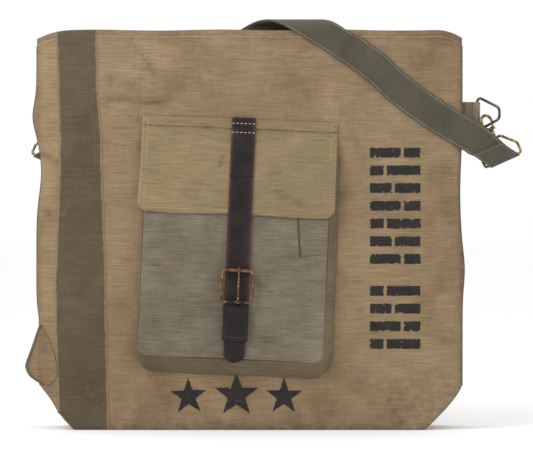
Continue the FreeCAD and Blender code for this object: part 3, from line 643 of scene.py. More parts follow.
band_mesh = bmesh.new()
band_columns = [
    0, 0.015, 0.035, 0.06, 0.09, 0.13, 0.2, 0.3, 0.4, 0.5, 0.6, 0.7, 0.8, 0.87, 0.91, 0.94, 0.965, 0.985, 1,
]
add_grid(band_mesh, band_columns, steps(140), band_spot, lambda p: (p.x, p.z))
band = new_piece("dark_band", band_mesh, band_material(), join=0.00001)


def band_fade(p):
    left, right = band_edges(p.z)
    return 1 - ease(0, 0.0042, min(p.x - left, right - p.x))


mark(band, "edge", band_fade)
# Painted shade in the crease that crosses the band.
band_crease = ((-0.224, 0.075), (-0.206, 0.040))
mark(band, "soil_and_shade", lambda p: 0.7 * math.exp(-((off_line(p.x, p.z, *band_crease) / 0.003) ** 2)))
thicken(band, band_cloth)
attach(band, "sack")
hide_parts("front_band")

band_thread = thread_material("band_thread", (124, 112, 90), (98, 87, 68))
band_rows = []
for inset in (0.0085, -0.0085):
    row = []
    for i in range(150):
        z = 0.012 + (hem_line - 0.016) * i / 149
        x = band_edges(z)[0 if inset > 0 else 1] + inset
        row.append(lay_on(x, z, band_cloth + 0.00022))
    band_rows.append(row)
band_stitches = sew("band_stitches", band_rows, band_thread, pitch=0.0042, length=0.0022, thickness=0.0005)
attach(band_stitches, "sack")

# ---- Seam bindings and the fold at the lower left ----
# Each side seam is closed with a narrow olive tape, sewn over the edges of the canvas.
# At the lower left a pleat of the side wall pokes out past the front, its tape with it.

binding_cloth = cloth_material("seam_tape", (104, 96, 76), (86, 78, 60), (112, 104, 84), thread=0.0009)
tape_wide = 0.009
tape_thick = 0.0009
for side, name in ((-1, "left"), (1, "right")):
    tape_mesh = bmesh.new()

    def tape_spot(t, z):
        spot = side_spot(side, t * tape_wide / (back_foot - front_y), z)
        return spot + Vector((side * 0.0010, 0.0005, 0))

    tape_rows = [corner_rise + (tall - hem_tall - corner_rise) * i / 90 for i in range(91)]
    add_grid(tape_mesh, steps(4), tape_rows, tape_spot, lambda p: (p.y, p.z), flip=side < 0)
    tape = thicken(new_piece(name + "_seam_tape", tape_mesh, binding_cloth), tape_thick)
    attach(tape, "sack")
    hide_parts(name + "_seam_binding")

# The pleat's canvas is a darker copy of the sack canvas: painted shade on the side wall that pokes out.
ear_cloth_shaded = cloth_material("pleat_canvas_shaded", (136, 114, 86), (116, 95, 69), (142, 120, 92))
ear_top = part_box("left_corner_fold")[1].z


def ear_outer(t):
    """The pleat's outer edge, from its top down to where it runs under the corner."""
    marks = [
        (-0.2672, ear_top), (-0.2755, 0.108), (-0.2835, 0.086),
        (-0.2838, 0.078), (-0.2775, 0.067), (-0.2620, 0.0570),
    ]
    return along(marks, t)


def ear_inner(t):
    marks = [
        (-0.2665, ear_top), (-0.2560, 0.117), (-0.2490, 0.100),
        (-0.2450, 0.084), (-0.2450, 0.068), (-0.2560, 0.0560),
    ]
    return along(marks, t)


def along(marks, t):
    """A place on a smooth line through marks, for t from 0 to 1."""
    whole = t * (len(marks) - 1)
    i = min(int(whole), len(marks) - 2)
    share = whole - i
    before, start = Vector(marks[max(i - 1, 0)]), Vector(marks[i])
    end, after = Vector(marks[i + 1]), Vector(marks[min(i + 2, len(marks) - 1)])
    pull = (end - before) * 0.5
    push = (after - start) * 0.5
    a, b = share**2, share**3
    return start * (2 * b - 3 * a + 1) + pull * (b - 2 * a + share) + end * (3 * a - 2 * b) + push * (b - a)


def ear_spot(u, t):
    spot = ear_inner(t).lerp(ear_outer(t), u)
    inner = lay_on(spot.x, spot.y, 0.0014)
    out = max(inner.y, front_y - 0.0022) if spot.x > -0.2665 else front_y - 0.0008
    lift = 0.0016 * math.sin(math.pi * min(u * 1.3, 1)) * math.sin(math.pi * t)
    return Vector((spot.x, out - lift + 0.0015 * u, spot.y))


ear_mesh = bmesh.new()
add_grid(ear_mesh, steps(18), [1 - t for t in steps(30)], ear_spot, lambda p: (p.x, p.z), flip=True)
ear = new_piece("corner_pleat", ear_mesh, ear_cloth_shaded)
# Darker in a narrow strip down the pleat, where it steps off the front.
mark(ear, "soil_and_shade", lambda p: 0.35 * math.exp(-(((p.x + 0.262) / 0.006) ** 2)))
thicken(ear, 0.0009)
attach(ear, "sack")
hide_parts("left_corner_fold")


def sweep(name, stations, material, section=None):
    """A flat strap swept along stations of (middle, half its width, outward, thickness)."""
    section = section or [
        (-1, -0.5), (-0.985, -0.85), (-0.95, -1), (-0.5, -1.03), (0, -1.04), (0.5, -1.03),
        (0.95, -1), (0.985, -0.85), (1, -0.5), (1, 0.5), (0.985, 0.85), (0.95, 1),
        (0.5, 1.03), (0, 1.04), (-0.5, 1.03), (-0.95, 1), (-0.985, 0.85), (-1, 0.5),
    ]
    mesh = bmesh.new()
    weave = mesh.loops.layers.uv.new("weave")
    rings, run = [], 0.0
    for i, (middle, half, out, thick) in enumerate(stations):
        if i:
            run += (middle - stations[i - 1][0]).length
        ring = [mesh.verts.new(middle + half * a + out * (thick / 2) * b) for a, b in section]
        rings.append((ring, run, half.length))
    count = len(section)
    for (low, low_run, wide), (high, high_run, _) in zip(rings, rings[1:]):
        for k in range(count):
            after = (k + 1) % count
            face = mesh.faces.new([low[k], low[after], high[after], high[k]])
            face.smooth = True
            corners = ((k, low_run), (after, low_run), (after, high_run), (k, high_run))
            for loop, (j, at) in zip(face.loops, corners):
                loop[weave].uv = (section[j][0] * wide, at)
    mesh.faces.new(rings[0][0])
    mesh.faces.new(rings[-1][0][::-1])
    bmesh.ops.recalc_face_normals(mesh, faces=mesh.faces)
    return new_piece(name, mesh, material, join=0.000001)


edge_stations = []
for i in range(41):
    t = i / 40
    spot = ear_outer(t)
    towards = (ear_inner(t) - spot)
    towards = Vector((towards.x, 0, towards.y)).normalized() if t > 0.02 else Vector((1, 0, 0))
    middle = ear_spot(1, t) + towards * 0.0014 - Vector((0, 0.0004, 0))
    edge_stations.append((middle, towards * 0.0021 * ease(-0.1, 0.12, t), Vector((0, -1, 0)), 0.0019))
ear_tape = sweep("corner_pleat_tape", edge_stations, binding_cloth)
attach(ear_tape, "sack")

# ---- Stencilled paint ----
# Three plain stars under the pocket and a column of plain bars up the right, brushed
# through a stencil in black. The paint is thin, with nibbled edges and bare specks.


def paint_material():
    """Black stencil paint, bare in specks and more so near its edges."""
    material, tree, place = start_material("stencil_paint")
    speckle = grain(tree, place, 260, 4)
    worn = maths(tree, "ADD", speckle, maths(tree, "MULTIPLY", stored(tree, "edge"), 0.16))
    bare = ramp(tree, maths(tree, "ADD", worn, 0.12), 0.80, 0.88)
    ink = mixed(tree, grain(tree, place, 70, 2), (30, 29, 28), (46, 44, 40))
    return finish_shader(
        material, Base_Color=mixed(tree, bare, ink, (132, 112, 84)), Roughness=0.82,
        Normal=relief(tree, speckle, 0.6, 0.0004), Specular_IOR_Level=0.25,
    )


paint = paint_material()
paint_thick = 0.00012


def paint_shapes(name, shapes):
    """Thin paint on the front. Each shape is a flat grid of faces with its outline marked."""
    mesh = bmesh.new()
    edge = mesh.verts.layers.float.new("edge")
    for fill in shapes:
        fill(mesh, edge)
    bmesh.ops.remove_doubles(mesh, verts=mesh.verts, dist=0.00005)
    piece = new_piece(name, mesh, paint)
    thicken(piece, paint_thick)
    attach(piece, "sack")
    return piece


def ragged(x, z, amount=0.0009):
    """Shifts a place on a shape's outline a little, as a stencil's edge bleeds."""
    return (
        x + amount * noise.noise(Vector((x * 260, 0.2, z * 260))),
        z + amount * noise.noise(Vector((x * 260, 9.2, z * 260))),
    )


def star_shape(x, z, reach, turn=0.0):
    """A five-pointed star, as ten triangles divided into small ones."""
    corners = []
    for k in range(10):
        angle = math.radians(90 + 36 * k + turn)
        far = reach if k % 2 == 0 else reach * 0.40
        corners.append((x + far * math.cos(angle), z + far * math.sin(angle)))

    def fill(mesh, edge):
        count = 9
        for k in range(10):
            (ax, az), (bx, bz) = corners[k], corners[(k + 1) % 10]
            rows = []
            for i in range(count + 1):
                row = []
                for j in range(i + 1):
                    part = j / i if i else 0
                    px, pz = ax + (bx - ax) * part, az + (bz - az) * part
                    share = i / count
                    sx, sz = x + (px - x) * share, z + (pz - z) * share
                    if i == count:
                        sx, sz = ragged(sx, sz, 0.0004)
                    vert = mesh.verts.new(lay_on(sx, sz, 0.00032))
                    vert[edge] = 0.6 * ease(0.7, 1, share)
                    row.append(vert)
                rows.append(row)
            for low, high in zip(rows, rows[1:]):
                for j in range(len(low)):
                    mesh.faces.new([low[j], high[j + 1], high[j]])
                    if j:
                        mesh.faces.new([low[j - 1], low[j], high[j]])

    return fill


def bar_shape(left, right, low, high):
    """A plain oblong, as a grid with a slightly uneven outline."""

    def fill(mesh, edge):
        across = max(int((right - left) / 0.0022), 3)
        up = max(int((high - low) / 0.0022), 3)
        lines = []
        for j in range(up + 1):
            line = []
            for i in range(across + 1):
                x, z = left + (right - left) * i / across, low + (high - low) * j / up
                rim = i in (0, across) or j in (0, up)
                if rim:
                    x, z = ragged(x, z, 0.0006)
                vert = mesh.verts.new(lay_on(x, z, 0.00032))
                vert[edge] = 1.0 if rim else 0.0
                line.append(vert)
            lines.append(line)
        for a, b in zip(lines, lines[1:]):
            for i in range(across):
                mesh.faces.new([a[i], a[i + 1], b[i + 1], b[i]])

    return fill


stars = [(-0.0773, 0.0427, 0.0240, 2), (-0.0165, 0.0445, 0.0294, 0), (0.0438, 0.0427, 0.0240, -1)]
paint_shapes("painted_stars", [star_shape(*star) for star in stars])

bar_left, bar_right = 0.153, 0.217
bar_tall, bar_gap, bridge = 0.0125, 0.0100, 0.0040
bars, level = [], 0.103
for k in range(11):
    if k == 4:
        level += 0.018
    cut = bar_left + (bar_right - bar_left) * (0.30, 0.64, 0.46)[k % 3]
    bars.append(bar_shape(bar_left, cut - bridge / 2, level, level + bar_tall))
    bars.append(bar_shape(cut + bridge / 2, bar_right, level, level + bar_tall))
    level += bar_tall + bar_gap
paint_shapes("painted_bars", bars)

# ---- Pocket face and its side wall ----
# The face is a grey ribbed cloth that stands out from the sack, a little further at its
# bottom. A khaki wall runs down both sides and along the bottom, splayed to the sack.

mouth_drop, bottom_drop = 0.044, 0.305
mouth_out, bottom_out = 0.008, 0.020
face_half = 0.118
strap_middle = 0.0045


def face_out(down):
    return mouth_out + (down - mouth_drop) * (bottom_out - mouth_out) / (bottom_drop - mouth_drop)


def face_swell(across, down):
    """The face bellies out a little between the strap and its edges."""
    aside = 1 - math.exp(-(((across - strap_middle) / 0.034) ** 2))
    edge = min(face_half - abs(across), bottom_drop - down)
    ripple = 0.0005 * noise.noise(Vector((across * 20, 3, down * 14)))
    return aside * ease(0, 0.03, edge) * (0.0010 + ripple) * ease(0.10, 0.16, down)


def face_edge(v):
    """Half the face's width at a share of its height, rounded at the lower corners."""
    down = mouth_drop + (bottom_drop - mouth_drop) * v
    past = max(down - (bottom_drop - 0.012), 0) / 0.012
    return down, face_half - 0.012 * (1 - math.sqrt(max(1 - past**2, 0))) - 0.0007 * math.sin(math.pi * v)


def face_spot(u, v):
    down, half = face_edge(v)
    across = (2 * u - 1) * half
    out = face_out(down) + face_swell(across, down)
    sag = 0.0012 * math.sin(math.pi * u) * ease(0.9, 1, v)
    return on_pocket(across, down - sag, out)


def pocket_weave(place):
    flat = place - pocket_origin
    return flat.dot(pocket_across), flat.dot(pocket_down)


def pocket_grime_and_shade(spots):
    def soil_and_shade(place):
        across, down = pocket_weave(place)
        dirt_and_shade = 0.0
        for x, z, wide, high, amount in spots:
            dirt_and_shade += amount * math.exp(-(((across - x) / wide) ** 2 + ((down - z) / high) ** 2))
        return min(dirt_and_shade, 0.9)

    return soil_and_shade


face_cloth = cloth_material(
    "ribbed_grey", (124, 114, 99), (104, 93, 77), (136, 128, 114),
    thread=0.0017, rib=1.1, streak=0.36, bump=0.8,
)
face_mesh = bmesh.new()
face_rows = [1 - (1 - i / 70) ** 1.25 for i in range(71)]
add_grid(face_mesh, steps(72), face_rows, face_spot, pocket_weave, flip=True)
face = new_piece("pocket_face", face_mesh, face_cloth)
face_spots = [
    (0.0934, 0.2414, 0.003, 0.003, 0.9), (0.0467, 0.2803, 0.006, 0.003, 0.5),
    (0.086, 0.132, 0.010, 0.004, 0.3), (-0.050, 0.200, 0.004, 0.004, 0.3),
    (-0.072, 0.160, 0.002, 0.002, 0.5), (0.05, 0.18, 0.02, 0.02, 0.14),
]
mark(face, "soil_and_shade", pocket_grime_and_shade(face_spots))
thicken(face, canvas_cloth)
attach(face, "sack")
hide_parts("pocket_front")

wall_cloth = cloth_material("khaki_wall", (112, 97, 73), (88, 74, 53), (120, 105, 80))
wall_left, wall_right, wall_foot = 0.001, 0.0105, 0.0195


def wall_line(half_left, half_right, bottom, bend, t):
    """A place on the pocket's outline: down the left, round, along the bottom and up the right."""
    sides = bottom - mouth_drop
    run = sides + half_left + half_right + sides
    at = t * run
    if at < sides:
        spot = Vector((-half_left, mouth_drop + at))
    elif at < run - sides:
        spot = Vector((-half_left + at - sides, bottom))
    else:
        spot = Vector((half_right, bottom - (at - (run - sides))))
    for side, half in ((-1, half_left), (1, half_right)):
        corner = Vector((side * (half - bend), bottom - bend))
        if spot.x * side > corner.x * side and spot.y > corner.y:
            away = spot - corner
            spot = corner + away.normalized() * bend
    return spot


def wall_spot(t, v):
    upper = wall_line(face_half - 0.0006, face_half - 0.0006, bottom_drop - 0.0006, 0.0115, t)
    lower = wall_line(
        face_half + wall_left, face_half + wall_right, bottom_drop + wall_foot, 0.0260, t,
    )
    flat = upper.lerp(lower, v)
    out = (face_out(upper.y) - canvas_cloth) * (1 - v) + 0.0004 * v
    centre = Vector((0, 0.2))
    away = (flat - centre).normalized()
    puff = math.sin(math.pi * v) * (0.0011 + 0.0010 * noise.noise(Vector((t * 22, 2, v))))
    flat += away * puff
    return on_pocket(flat.x, flat.y, out + 0.25 * puff)


wall_mesh = bmesh.new()
add_grid(wall_mesh, steps(200), steps(8), wall_spot, pocket_weave)
wall = new_piece("pocket_wall", wall_mesh, wall_cloth)
# Painted shade where the wall's foot meets the sack.
mark(wall, "soil_and_shade", lambda p: 0.4 * (1 - ease(0, 0.004, abs(p.y - front_y))))
thicken(wall, canvas_cloth * 0.9)
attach(wall, "sack")
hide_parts("pocket_gusset")

khaki_thread = thread_material("khaki_thread", (150, 134, 98), (128, 112, 82))
wall_row = [wall_spot(0.004 + 0.992 * i / 260, 0.93) + Vector((0, -0.0003, 0)) for i in range(261)]
wall_stitches = sew(
    "pocket_wall_stitches", [wall_row], khaki_thread,
    pitch=0.0032, length=0.0022, thickness=0.0005,
)
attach(wall_stitches, "sack")

# A raised, whipped-over seam down the right of the wall.
roll_row = [wall_spot(0.60 + 0.28 * i / 200, 0.42) + Vector((0, -0.0002, 0)) for i in range(201)]
roll_thread = thread_material("rolled_seam", (144, 130, 98), (110, 96, 70))
rolled_seam = sew(
    "pocket_rolled_seam", [roll_row], roll_thread,
    pitch=0.0044, length=0.0052, thickness=0.0017,
)
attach(rolled_seam, "sack")

# A let-in seam in the face, turned at its foot towards the right edge. The dark strip laid along it is
# painted shadow in the seam.
seam_marks = [(0.0772, 0.112), (0.0800, 0.145), (0.0828, 0.172)]
seam_stations = []
for i in range(25):
    spot = along(seam_marks, i / 24)
    middle = on_pocket(spot.x, spot.y, face_out(spot.y) + face_swell(spot.x, spot.y) + 0.0003)
    seam_stations.append((middle, pocket_across * 0.0010, pocket_out, 0.0009))
seam_shadow_cloth = cloth_material("seam_shadow", (78, 66, 50), (62, 52, 40), (90, 78, 60))
face_seam_shadow = sweep("pocket_face_seam_shadow", seam_stations, seam_shadow_cloth)
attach(face_seam_shadow, "sack")
seam_foot = []
for i in range(21):
    across, down = 0.0830 + 0.0325 * i / 20, 0.1720 - 0.0050 * i / 20
    seam_foot.append(on_pocket(across, down, face_out(down) + face_swell(across, down) + 0.0002))
seam_thread = thread_material("seam_thread", (78, 68, 54), (96, 86, 72))
seam_stitches = sew(
    "pocket_seam_stitches", [seam_foot], seam_thread,
    pitch=0.0030, length=0.0028, thickness=0.0011,
)
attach(seam_stitches, "sack")

# ---- Pocket flap ----
# A khaki flap with clipped corners, folded over at the top and held to the sack by two
# rows of stitches. It bends at the second row and lies on the pocket's face.

flap_half, flap_drop, flap_cloth = 0.124, 0.122, 0.0013
tape_drop = 0.0125
flap_bend = 0.042
hinge_out = 0.0007
clip = 0.010


def flap_under(down):
    """How far out the flap's inner face is: on the sack at its top, then on the pocket."""
    if down < hinge_drop:
        return 0.0004
    if down < flap_bend:
        share = (down - hinge_drop) / (flap_bend - hinge_drop)
        rise = face_out(flap_bend) + 0.0005 - hinge_out
        return hinge_out + rise * (share - 0.10 * math.sin(2 * math.pi * share) / 2)
    return face_out(down) + 0.0005


def flap_shape(u, v):
    down = flap_drop * v
    past = max(down - (flap_drop - clip), 0) / clip
    half = flap_half + 0.0018 * ease(0.5, 0.9, v) * (1 if u < 0.5 else 0.2) - clip * 0.92 * past**1.6
    return (2 * u - 1) * half, down + 0.0008 * math.sin(u * 9) * ease(0.8, 1, v)


def flap_top(across, down):
    """How far out the flap's outer face is, with its puckers and the folded strip at its top."""
    aside = 1 - math.exp(-(((across - strap_middle) / 0.030) ** 2))
    out = flap_under(down) + flap_cloth
    out += 0.0006 * (1 - ease(tape_drop - 0.0006, tape_drop + 0.0004, down))
    puckers = 0.0003 * math.sin(across * 900) * math.exp(-(((abs(down - tape_drop)) / 0.005) ** 2))
    swell = 0.0011 * noise.noise(Vector((across * 16, 6, down * 20))) + 0.0008
    lift = 0.0012 * ease(0.10, flap_drop, down) * (0.5 + 0.5 * math.sin(across * 31 + 1))
    return out + aside * (puckers + (swell + lift) * ease(0.03, 0.06, down))


def flap_spot(u, v):
    across, down = flap_shape(u, v)
    return on_pocket(across, down, flap_top(across, down))


flap_material = cloth_material("khaki_flap", (136, 118, 87), (114, 100, 72), (143, 122, 93), streak=0.28)
flap_mesh = bmesh.new()
flap_rows = sorted(set(
    [i / 60 for i in range(61)]
    + [(tape_drop - 0.0006) / flap_drop, (tape_drop + 0.0004) / flap_drop, tape_drop / flap_drop]
))
add_grid(flap_mesh, steps(90), flap_rows, flap_spot, pocket_weave, flip=True)
flap = new_piece("pocket_flap_sewn", flap_mesh, flap_material, join=0.000005)
# Real stains, except the full-width line at the folded strip's lower edge, which is painted shade under the
# fold.
flap_stains_and_shade = [
    (-0.0225, 0.057, 0.003, 0.005, 0.7), (-0.0200, 0.049, 0.003, 0.004, 0.6),
    (0.048, 0.0905, 0.007, 0.0022, 0.7), (0.060, 0.0965, 0.008, 0.0024, 0.55),
    (0.074, 0.1035, 0.007, 0.0024, 0.5), (0.050, 0.066, 0.006, 0.004, 0.3),
    (0.078, 0.108, 0.004, 0.004, 0.4),
    (-0.06, 0.098, 0.012, 0.008, 0.2), (0, 0.0127, 1.0, 0.0012, 0.75),
]
mark(flap, "soil_and_shade", pocket_grime_and_shade(flap_stains_and_shade))
mark(flap, "pale", lambda p: 0.35 * (1 - ease(0, 0.0016, flap_half - abs(pocket_weave(p)[0]))))
thicken(flap, flap_cloth)
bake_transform(flap)
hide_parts("pocket_flap", "flap_top_tape")

flap_thread = thread_material("flap_thread", (178, 158, 112), (112, 96, 68))
flap_edge_thread = thread_material("flap_edge_thread", (190, 168, 118), (152, 132, 92))
top_rows = []
for down in (0.0058, 0.0172):
    top_rows.append([
        on_pocket(x, down, flap_top(x, down) + 0.0001)
        for x in [-0.121 + 0.242 * i / 120 for i in range(121)]
    ])
flap_stitches = sew(
    "flap_top_stitches", top_rows, flap_thread,
    pitch=0.0037, length=0.0021, thickness=0.0011,
)
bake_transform(flap_stitches)
side_rows = []
for side in (-1, 1):
    for inset in (0.0062, 0.0082):
        downs = [0.003 + 0.110 * i / 60 for i in range(61)]
        side_rows.append([
            on_pocket(side * (flap_half - inset), down, flap_top(side * (flap_half - inset), down) + 0.0001)
            for down in downs
        ])
bottom = flap_drop - 0.0052
bottom_acrosses = [-0.114 + 0.228 * i / 110 for i in range(111)]
side_rows.append([on_pocket(x, bottom, flap_top(x, bottom) + 0.0001) for x in bottom_acrosses])
flap_edge_stitches = sew(
    "flap_edge_stitches", side_rows, flap_edge_thread,
    pitch=0.0034, length=0.0023, thickness=0.0009,
)
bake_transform(flap_edge_stitches)

# ---- Closing strap ----
# One strap of near-black waxed leather, 30 mm wide, sewn to the top of the flap with two
# rows of white thread. It runs down over the pocket, under the buckle, to a rounded tip.

leather_thick = 0.003
strap_half = 0.015
tail_half = 0.01375
strap_tip = 0.3085
strap_start = 0.027
cross_drop = 0.0725


def leather_material(name, main, shine):
    """Waxed leather: fine grain, dull patches, scuffs, and edges where red fibre shows."""
    material, tree, place = start_material(name)
    pores = node(tree, "ShaderNodeTexVoronoi", {"Vector": place, "Scale": 900.0}).outputs["Distance"]
    cloudy, scuff = grain(tree, place, 55, 5), grain(tree, place, 240, 4)
    dull = ramp(tree, cloudy, 0.35, 0.7)
    tone = mixed(tree, dull, main, shine)
    scuffed = maths(tree, "MULTIPLY", ramp(tree, scuff, 0.64, 0.82), 0.35)
    tone = mixed(tree, scuffed, tone, (70, 60, 54))
    tone = mixed(tree, maths(tree, "MULTIPLY", stored(tree, "edge"), cloudy), tone, (84, 56, 54))
    return finish_shader(
        material, Base_Color=tone, Roughness=ramp(tree, dull, start=0.42, end=0.62),
        Normal=relief(tree, maths(tree, "ADD", pores, cloudy), 0.35, 0.0003), Specular_IOR_Level=0.14,
    )


leather = leather_material("waxed_leather", (32, 27, 27), (41, 35, 34))
leather_section = [
    (-1, 0.0), (-0.985, -0.7), (-0.95, -1), (-0.5, -1), (0, -1), (0.5, -1), (0.95, -1), (0.985, -0.7),
    (1, 0.0), (0.985, 0.62), (0.955, 0.86), (0.915, 0.90), (0.89, 0.80), (0.865, 0.93), (0.80, 1.0),
    (0.4, 1.04), (0, 1.05), (-0.4, 1.04), (-0.80, 1.0), (-0.865, 0.93), (-0.89, 0.80),
    (-0.915, 0.90), (-0.955, 0.86), (-0.985, 0.62),
]


def strap_under(down):
    """How far out the leather's inner face is."""
    lie = 0.00215
    share = (strap_start - hinge_drop) / (flap_bend - hinge_drop)
    start = 0.0014 + (face_out(flap_bend) - 0.0014) * share + lie
    if down < 0.012:
        return 0.0024
    if down < strap_start:
        return 0.0024 + (start - 0.0024) * ((down - 0.012) / (strap_start - 0.012)) ** 1.25
    if down < flap_bend:
        return start + (face_out(flap_bend) + lie - start) * (down - strap_start) / (flap_bend - strap_start)
    return face_out(down) + lie


strap_stations = []
strap_downs = [-0.0015 + (strap_tip + 0.0015) * i / 190 for i in range(191)]
for i, down in enumerate(strap_downs):
    half = strap_half + (tail_half - strap_half) * ease(0.276, 0.284, down)
    past = max(down - (strap_tip - 0.0125), 0) / 0.0125
    half *= math.sqrt(max(1 - past**2.4, 0.05)) if past else 1
    thick = leather_thick * (0.92 if down > cross_drop else 1.0) * (1 - 0.25 * past)
    slope = (strap_under(down + 0.001) - strap_under(down - 0.001)) / 0.002
    out = (pocket_out - pocket_down * slope).normalized()
    middle = on_pocket(strap_middle, down, strap_under(down)) + out * (thick / 2)
    strap_stations.append((middle, pocket_across * half, out, thick))
closing_strap = sweep("closing_strap", strap_stations, leather, leather_section)


def leather_edge(half):
    def worn(place):
        across = abs(pocket_weave(place)[0] - strap_middle)
        return ease(half - 0.0022, half - 0.0004, across)

    return worn


mark(closing_strap, "edge", leather_edge(tail_half))
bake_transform(closing_strap)
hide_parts("closure_strap", "strap_top_end")

white_thread = thread_material("white_thread", (214, 208, 196), (188, 180, 166))
white_rows = []
for down in (0.0058, 0.0172):
    out = strap_under(down) + leather_thick * 1.04
    white_rows.append([
        on_pocket(strap_middle - 0.0130 + 0.026 * i / 12, down, out) for i in range(13)
    ])
strap_stitches = sew(
    "strap_top_stitches", white_rows, white_thread,
    pitch=0.0047, length=0.0033, thickness=0.0009,
)
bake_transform(strap_stitches)

cross_half = strap_half * 0.97
cross_out = strap_under(cross_drop) + leather_thick + 0.0001
cross_stations = []
for i in range(9):
    middle = on_pocket(strap_middle - cross_half + 2 * cross_half * i / 8, cross_drop, cross_out)
    cross_stations.append((middle, pocket_down * 0.0005, pocket_out, 0.0005))
# A slightly darker copy of the leather laid along the crease: painted shade in the crease.
crease_shaded_leather = leather_material("crease_shaded_leather", (30, 25, 24), (36, 30, 28))
cross_line = sweep("strap_cross_crease", cross_stations, crease_shaded_leather)
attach(cross_line, "flap")

# ---- Buckle, chape and snap ----
# A wire frame with bowed sides, a copper-brown roller and a short tongue, held by a piece
# of leather that wraps the heel bar. Two flat snap halves lie hidden under the strap.


def metal_material(name, main, dark, bright, rough=0.42, patch=140.0):
    """Aged metal: a dark film in patches, and scattered spots rubbed bright."""
    material, tree, place = start_material(name)
    film = grain(tree, place, patch, 5)
    tone = mixed(tree, ramp(tree, film, 0.40, 0.62), dark, main)
    tone = mixed(tree, ramp(tree, grain(tree, place, 320, 3), 0.52, 0.72), tone, bright)
    return finish_shader(
        material, Base_Color=tone, Metallic=1.0,
        Roughness=ramp(tree, film, start=rough + 0.18, end=rough - 0.08),
        Normal=relief(tree, grain(tree, place, 900, 3), 0.25, 0.0002),
    )


def dress(material, *names):
    """Gives CAD pieces their finish."""
    for name in names:
        for slot in frame["nodes"][name].material_slots:
            slot.material = material


buckle_brass = metal_material("buckle_brass", (138, 108, 76), (72, 58, 42), (176, 146, 106))
dress(buckle_brass, "buckle_frame", "buckle_tongue")
copper_roller = metal_material("copper_roller", (120, 84, 64), (74, 52, 40), (150, 114, 92))
dress(copper_roller, "buckle_roller")
snap_steel = metal_material("snap_steel", (160, 158, 152), (110, 108, 104), (190, 188, 184))
dress(snap_steel, "snap_socket", "snap_stud")

chape_mesh = bmesh.new()
chape_mesh.from_mesh(frame["nodes"]["buckle_chape"].data)
bmesh.ops.remove_doubles(chape_mesh, verts=chape_mesh.verts, dist=0.00001)
bmesh.ops.dissolve_limit(
    chape_mesh, angle_limit=math.radians(2), verts=chape_mesh.verts, edges=chape_mesh.edges,
)
chape = new_piece("chape_leather", chape_mesh, leather, join=0.00001)
round_off = chape.modifiers.new("worn_edges", "BEVEL")
round_off.width = 0.00045
round_off.segments = 2
round_off.limit_method = "ANGLE"
round_off.angle_limit = math.radians(40)
settle(chape)
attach(chape, "flap")
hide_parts("buckle_chape")

chape_out = face_out(0.276) + 0.00215 + leather_thick + 0.00178
dark_thread = thread_material("waxed_thread", (104, 92, 82), (78, 68, 62))
chape_row = [on_pocket(strap_middle - 0.0125 + 0.025 * i / 12, 0.2765, chape_out) for i in range(13)]
chape_sides = []
for side in (-1, 1):
    chape_sides.append([
        on_pocket(strap_middle + side * 0.0138, down, face_out(down) + 0.00215 + leather_thick + 0.00178)
        for down in [0.246 + 0.029 * i / 14 for i in range(15)]
    ])
chape_stitches = sew(
    "chape_stitches", [chape_row] + chape_sides, dark_thread,
    pitch=0.0033, length=0.0024, thickness=0.0006,
)
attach(chape_stitches, "flap")

# ---- Rings and their tabs ----
# A tab of ribbed tape is folded round the straight side of each ring and sewn into the
# side seam at the right, and flat to the back at the left. The rings are dark bent wire.

tab_cloth = cloth_material(
    "ribbed_tape", (143, 130, 108), (118, 106, 87), (152, 139, 117), thread=0.0016, rib=0.8,
)
tab_half, tab_reach = 0.015, 0.021
tab_layer, tab_round = 0.0015, 0.0028
joint_of = {j["name"]: j for j in frame["joints"]}


def upright_place(joint, across):
    """The frame of an upright bar, from its joint: X across, Z up along the bar."""
    up = Vector(joint["axis"]).normalized()
    across = Vector(across)
    deep = up.cross(across)
    spot = Vector(joint["pos_m"])
    turned = Matrix((across, deep, up)).transposed().to_4x4()
    turned.translation = spot
    return turned


for side, across, sunk in (("right", (1, 0, 0), 0.004), ("left", (-1, 0, 0), 0.0)):
    place = upright_place(joint_of[side + "_ring_swing"], across)
    turned = place.to_3x3()
    course = [
        (-tab_reach - sunk, -tab_layer * 0.55, 0),
        (-tab_reach * 0.5, -tab_layer * 0.56, 0),
        (-0.0060, -tab_layer * 0.62, 0),
    ]
    for k in range(15):
        angle = math.radians(-112 + 224 * k / 14)
        course.append((math.cos(angle) * tab_round, math.sin(angle) * tab_round, 0))
    course += [(x, -y, z) for x, y, z in course[2::-1]]
    if side == "left":
        course[0] = (-tab_reach, -tab_layer * 0.55, 0)
        foot = [(-0.0125, 0.0042, 0), (-0.0165, 0.0082, 0), (-tab_reach, 0.0083, 0)]
        course[-2:] = [(-0.0105, tab_layer * 0.6, 0)] + foot
        course[1] = (-0.012, -tab_layer * 0.52, 0)
    course = [Vector(c) for c in course]
    stations = []
    for k, spot in enumerate(course):
        run = (course[min(k + 1, len(course) - 1)] - course[max(k - 1, 0)]).normalized()
        out = Vector((run.y, -run.x, 0))
        stations.append((place @ spot, turned @ Vector((0, 0, tab_half)), turned @ out, tab_layer))
    tab = sweep(side + "_tab_tape", stations, tab_cloth)
    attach(tab, "sack")
    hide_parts(side + "_ring_tab")
    rows = []
    for x in (-0.0062, -0.0085):
        y = -tab_layer * 1.12 - 0.0002
        rows.append([place @ Vector((x, y, -0.013 + 0.026 * k / 10)) for k in range(11)])
    tab_stitches = sew(
        side + "_tab_stitches", rows, band_thread, pitch=0.0030, length=0.0022, thickness=0.0005,
    )
    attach(tab_stitches, "sack")

ring_metal = metal_material("ring_metal", (92, 90, 72), (58, 56, 44), (132, 128, 108), rough=0.45)
dress(ring_metal, "right_ring", "left_ring")

# ---- Snap hooks ----
# Antique brass hooks with a sprung gate on a cross pin. Each turns on a headed pin in the
# boss of a wide eye, round whose bar the end of the shoulder strap is sewn.

